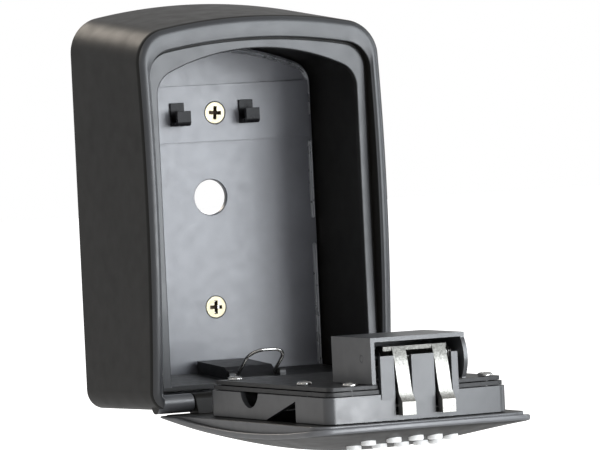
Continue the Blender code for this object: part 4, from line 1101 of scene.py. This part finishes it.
def make_wire_bail():
    """Sprung wire loop: a smooth round-ended bend with feet turned out into the tray's lugs."""
    flat = [(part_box("wire_bail")[1].x, 0.0), (BAIL_HALF + BAIL_LEG, 0.0)]
    flat += arc((BAIL_HALF + BAIL_FOOT, BAIL_FOOT), BAIL_FOOT, -QUARTER, -math.pi, 10)
    flat += arc((BAIL_HALF - BAIL_BEND, BAIL_LENGTH - BAIL_BEND), BAIL_BEND, 0, QUARTER, 20)
    path = flat + [(-x, v) for x, v in reversed(flat)]
    curve = bpy.data.curves.new("bail_wire", "CURVE")
    curve.dimensions = "3D"
    curve.bevel_depth = BAIL_WIRE
    curve.bevel_resolution = 5
    curve.use_fill_caps = True
    spline = curve.splines.new("POLY")
    spline.points.add(len(path) - 1)
    for point, (x, v) in zip(spline.points, path):
        spot = BAIL_PIVOT + Vector((x, v * math.cos(BAIL_LEAN), v * math.sin(BAIL_LEAN)))
        point.co = (*spot, 1.0)
    source = new_object("bail_wire", curve)
    graph = bpy.context.evaluated_depsgraph_get()
    mesh = bpy.data.meshes.new_from_object(source.evaluated_get(graph))
    bpy.data.objects.remove(source)
    turn_outwards(mesh, 1e-6)
    loop = new_object("wire_loop", mesh)
    smooth(loop, SHARP_WIRE)
    finish_piece(loop, "bail", "steel", STEEL, "wire_bail")


# ---------------------------------------------------------------- studio

def make_studio():
    """Pale floor, white surround and large soft lamps at a plain level."""
    scene = bpy.context.scene
    half, top = FLOOR_SIZE / 2, door_low.z - FLOOR_DROP
    floor = block("studio_floor", (-half, -half, top - FLOOR_THICK), (half, half, top))
    floor.data.materials.append(pale_floor())
    world = bpy.data.worlds.new("studio")
    scene.world = world
    world.use_nodes = True
    nodes, links = world.node_tree.nodes, world.node_tree.links
    sky = set_inputs(nodes["Background"], Color=(1.0, 1.0, 1.0, 1.0))
    rays, seen = nodes.new("ShaderNodeLightPath"), nodes.new("ShaderNodeMath")
    seen.operation = "MAXIMUM"
    links.new(rays.outputs["Is Camera Ray"], seen.inputs[0])
    links.new(rays.outputs["Is Transmission Ray"], seen.inputs[1])
    level = set_inputs(nodes.new("ShaderNodeMapRange"), To_Min=ROOM_LIGHT, To_Max=1.0)
    links.new(seen.outputs["Value"], level.inputs["Value"])
    links.new(level.outputs["Result"], sky.inputs["Strength"])
    for lamp in LAMPS:
        make_lamp(*lamp)
    scene.view_settings.view_transform = "Standard"


def pale_floor():
    """Matte near-white floor that shows white to the camera where no shadow falls."""
    floor = bpy.data.materials.new("pale_floor")
    floor.use_nodes = True
    nodes, links = floor.node_tree.nodes, floor.node_tree.links
    shader = set_inputs(nodes["Principled BSDF"], Base_Color=(0.82, 0.82, 0.82, 1.0),
                        Roughness=0.9, Specular_IOR_Level=0.1)
    glow = nodes.new("ShaderNodeEmission")
    rays = nodes.new("ShaderNodeLightPath")
    share = nodes.new("ShaderNodeMath")
    share.operation = "MULTIPLY"
    share.inputs[1].default_value = FLOOR_GLOW
    links.new(rays.outputs["Is Camera Ray"], share.inputs[0])
    links.new(share.outputs["Value"], glow.inputs["Strength"])
    both = nodes.new("ShaderNodeAddShader")
    links.new(shader.outputs["BSDF"], both.inputs[0])
    links.new(glow.outputs["Emission"], both.inputs[1])
    links.new(both.outputs["Shader"], nodes["Material Output"].inputs["Surface"])
    return floor


def make_lamp(name, place, size, power, tint):
    light = bpy.data.lights.new(name, "AREA")
    light.shape = "RECTANGLE"
    light.size, light.size_y = size
    light.energy = power
    light.color = tint
    made = new_object(name, light)
    made.location = place
    made.rotation_euler = (LAMP_AIM - Vector(place)).to_track_quat("-Z", "Y").to_euler()


def make_camera():
    """Long lens from the left of the front, a little above, rolled slightly."""
    back = Vector((math.sin(CAMERA_TURN) * math.cos(CAMERA_PITCH),
                   -math.cos(CAMERA_TURN) * math.cos(CAMERA_PITCH), math.sin(CAMERA_PITCH)))
    level = (-back).cross(Vector((0, 0, 1))).normalized()
    upright = level.cross(-back)
    right = math.cos(CAMERA_ROLL) * level + math.sin(CAMERA_ROLL) * upright
    up = -math.sin(CAMERA_ROLL) * level + math.cos(CAMERA_ROLL) * upright
    ahead = (-back + right * AIM_RIGHT - up * AIM_DOWN).normalized()
    right = ahead.cross(up).normalized()
    up = right.cross(ahead)
    turn = Matrix((right, up, -ahead)).transposed()
    camera = bpy.data.cameras.new("camera")
    camera.lens = CAMERA_LENS
    camera.sensor_width = 36.0
    camera.clip_end = 50.0
    made = new_object("camera", camera)
    made.matrix_world = Matrix.Translation(AIM_POINT + back * CAMERA_DISTANCE) @ turn.to_4x4()
    bpy.context.scene.camera = made


# ---------------------------------------------------------------- build

SOFTENED = (  # node, name, body, slot, material, edge radius, and the sharp angle if special
    ("floor_tray", "floor_liner", "case", "black_plastic", PLASTIC, 0.3 * MM),
    ("hinge_pin", "hinge_rod", "case", "steel", STEEL, 0.2 * MM),
    ("mechanism_housing", "lock_housing", "door", "black_casting", GLOSS, 0.3 * MM),
    ("lower_cover", "cover_under", "door", "black_plastic", PLASTIC, 0.25 * MM),
    ("upper_cover", "cover_over", "door", "black_plastic", PLASTIC, 0.25 * MM),
    ("button_guide_plate", "button_guide", "door", "zinc", ZINC, 0.15 * MM),
    ("latch_pin", "latch_rod", "door", "steel", GLOSS, 0.15 * MM),
    ("latch", "latch_hooks", "latch", "zinc", ZINC, 0.3 * MM, SHARP_FACETS),
    ("release_knob", "release_thumb_slide", "release", "black_casting", COAT, 0.3 * MM),
    ("release_link", "release_bar", "release", "zinc", ZINC, 0.2 * MM),
)

make_case_shell()
make_back_plate()
make_door_shell()
make_hook_strip()
for row in SOFTENED:
    make_softened(*row)
make_latch_box()
for screw in WALL_SCREW_SEEDS.items():
    make_wall_screw(*screw)
make_cover_screws()
for number in range(BUTTONS):
    make_button(number)
for number in range(BUTTONS):
    make_button_spring(number)
make_spring("release_spring", "Y")
make_spring("latch_spring", "X")
make_wire_bail()
make_studio()
make_camera()
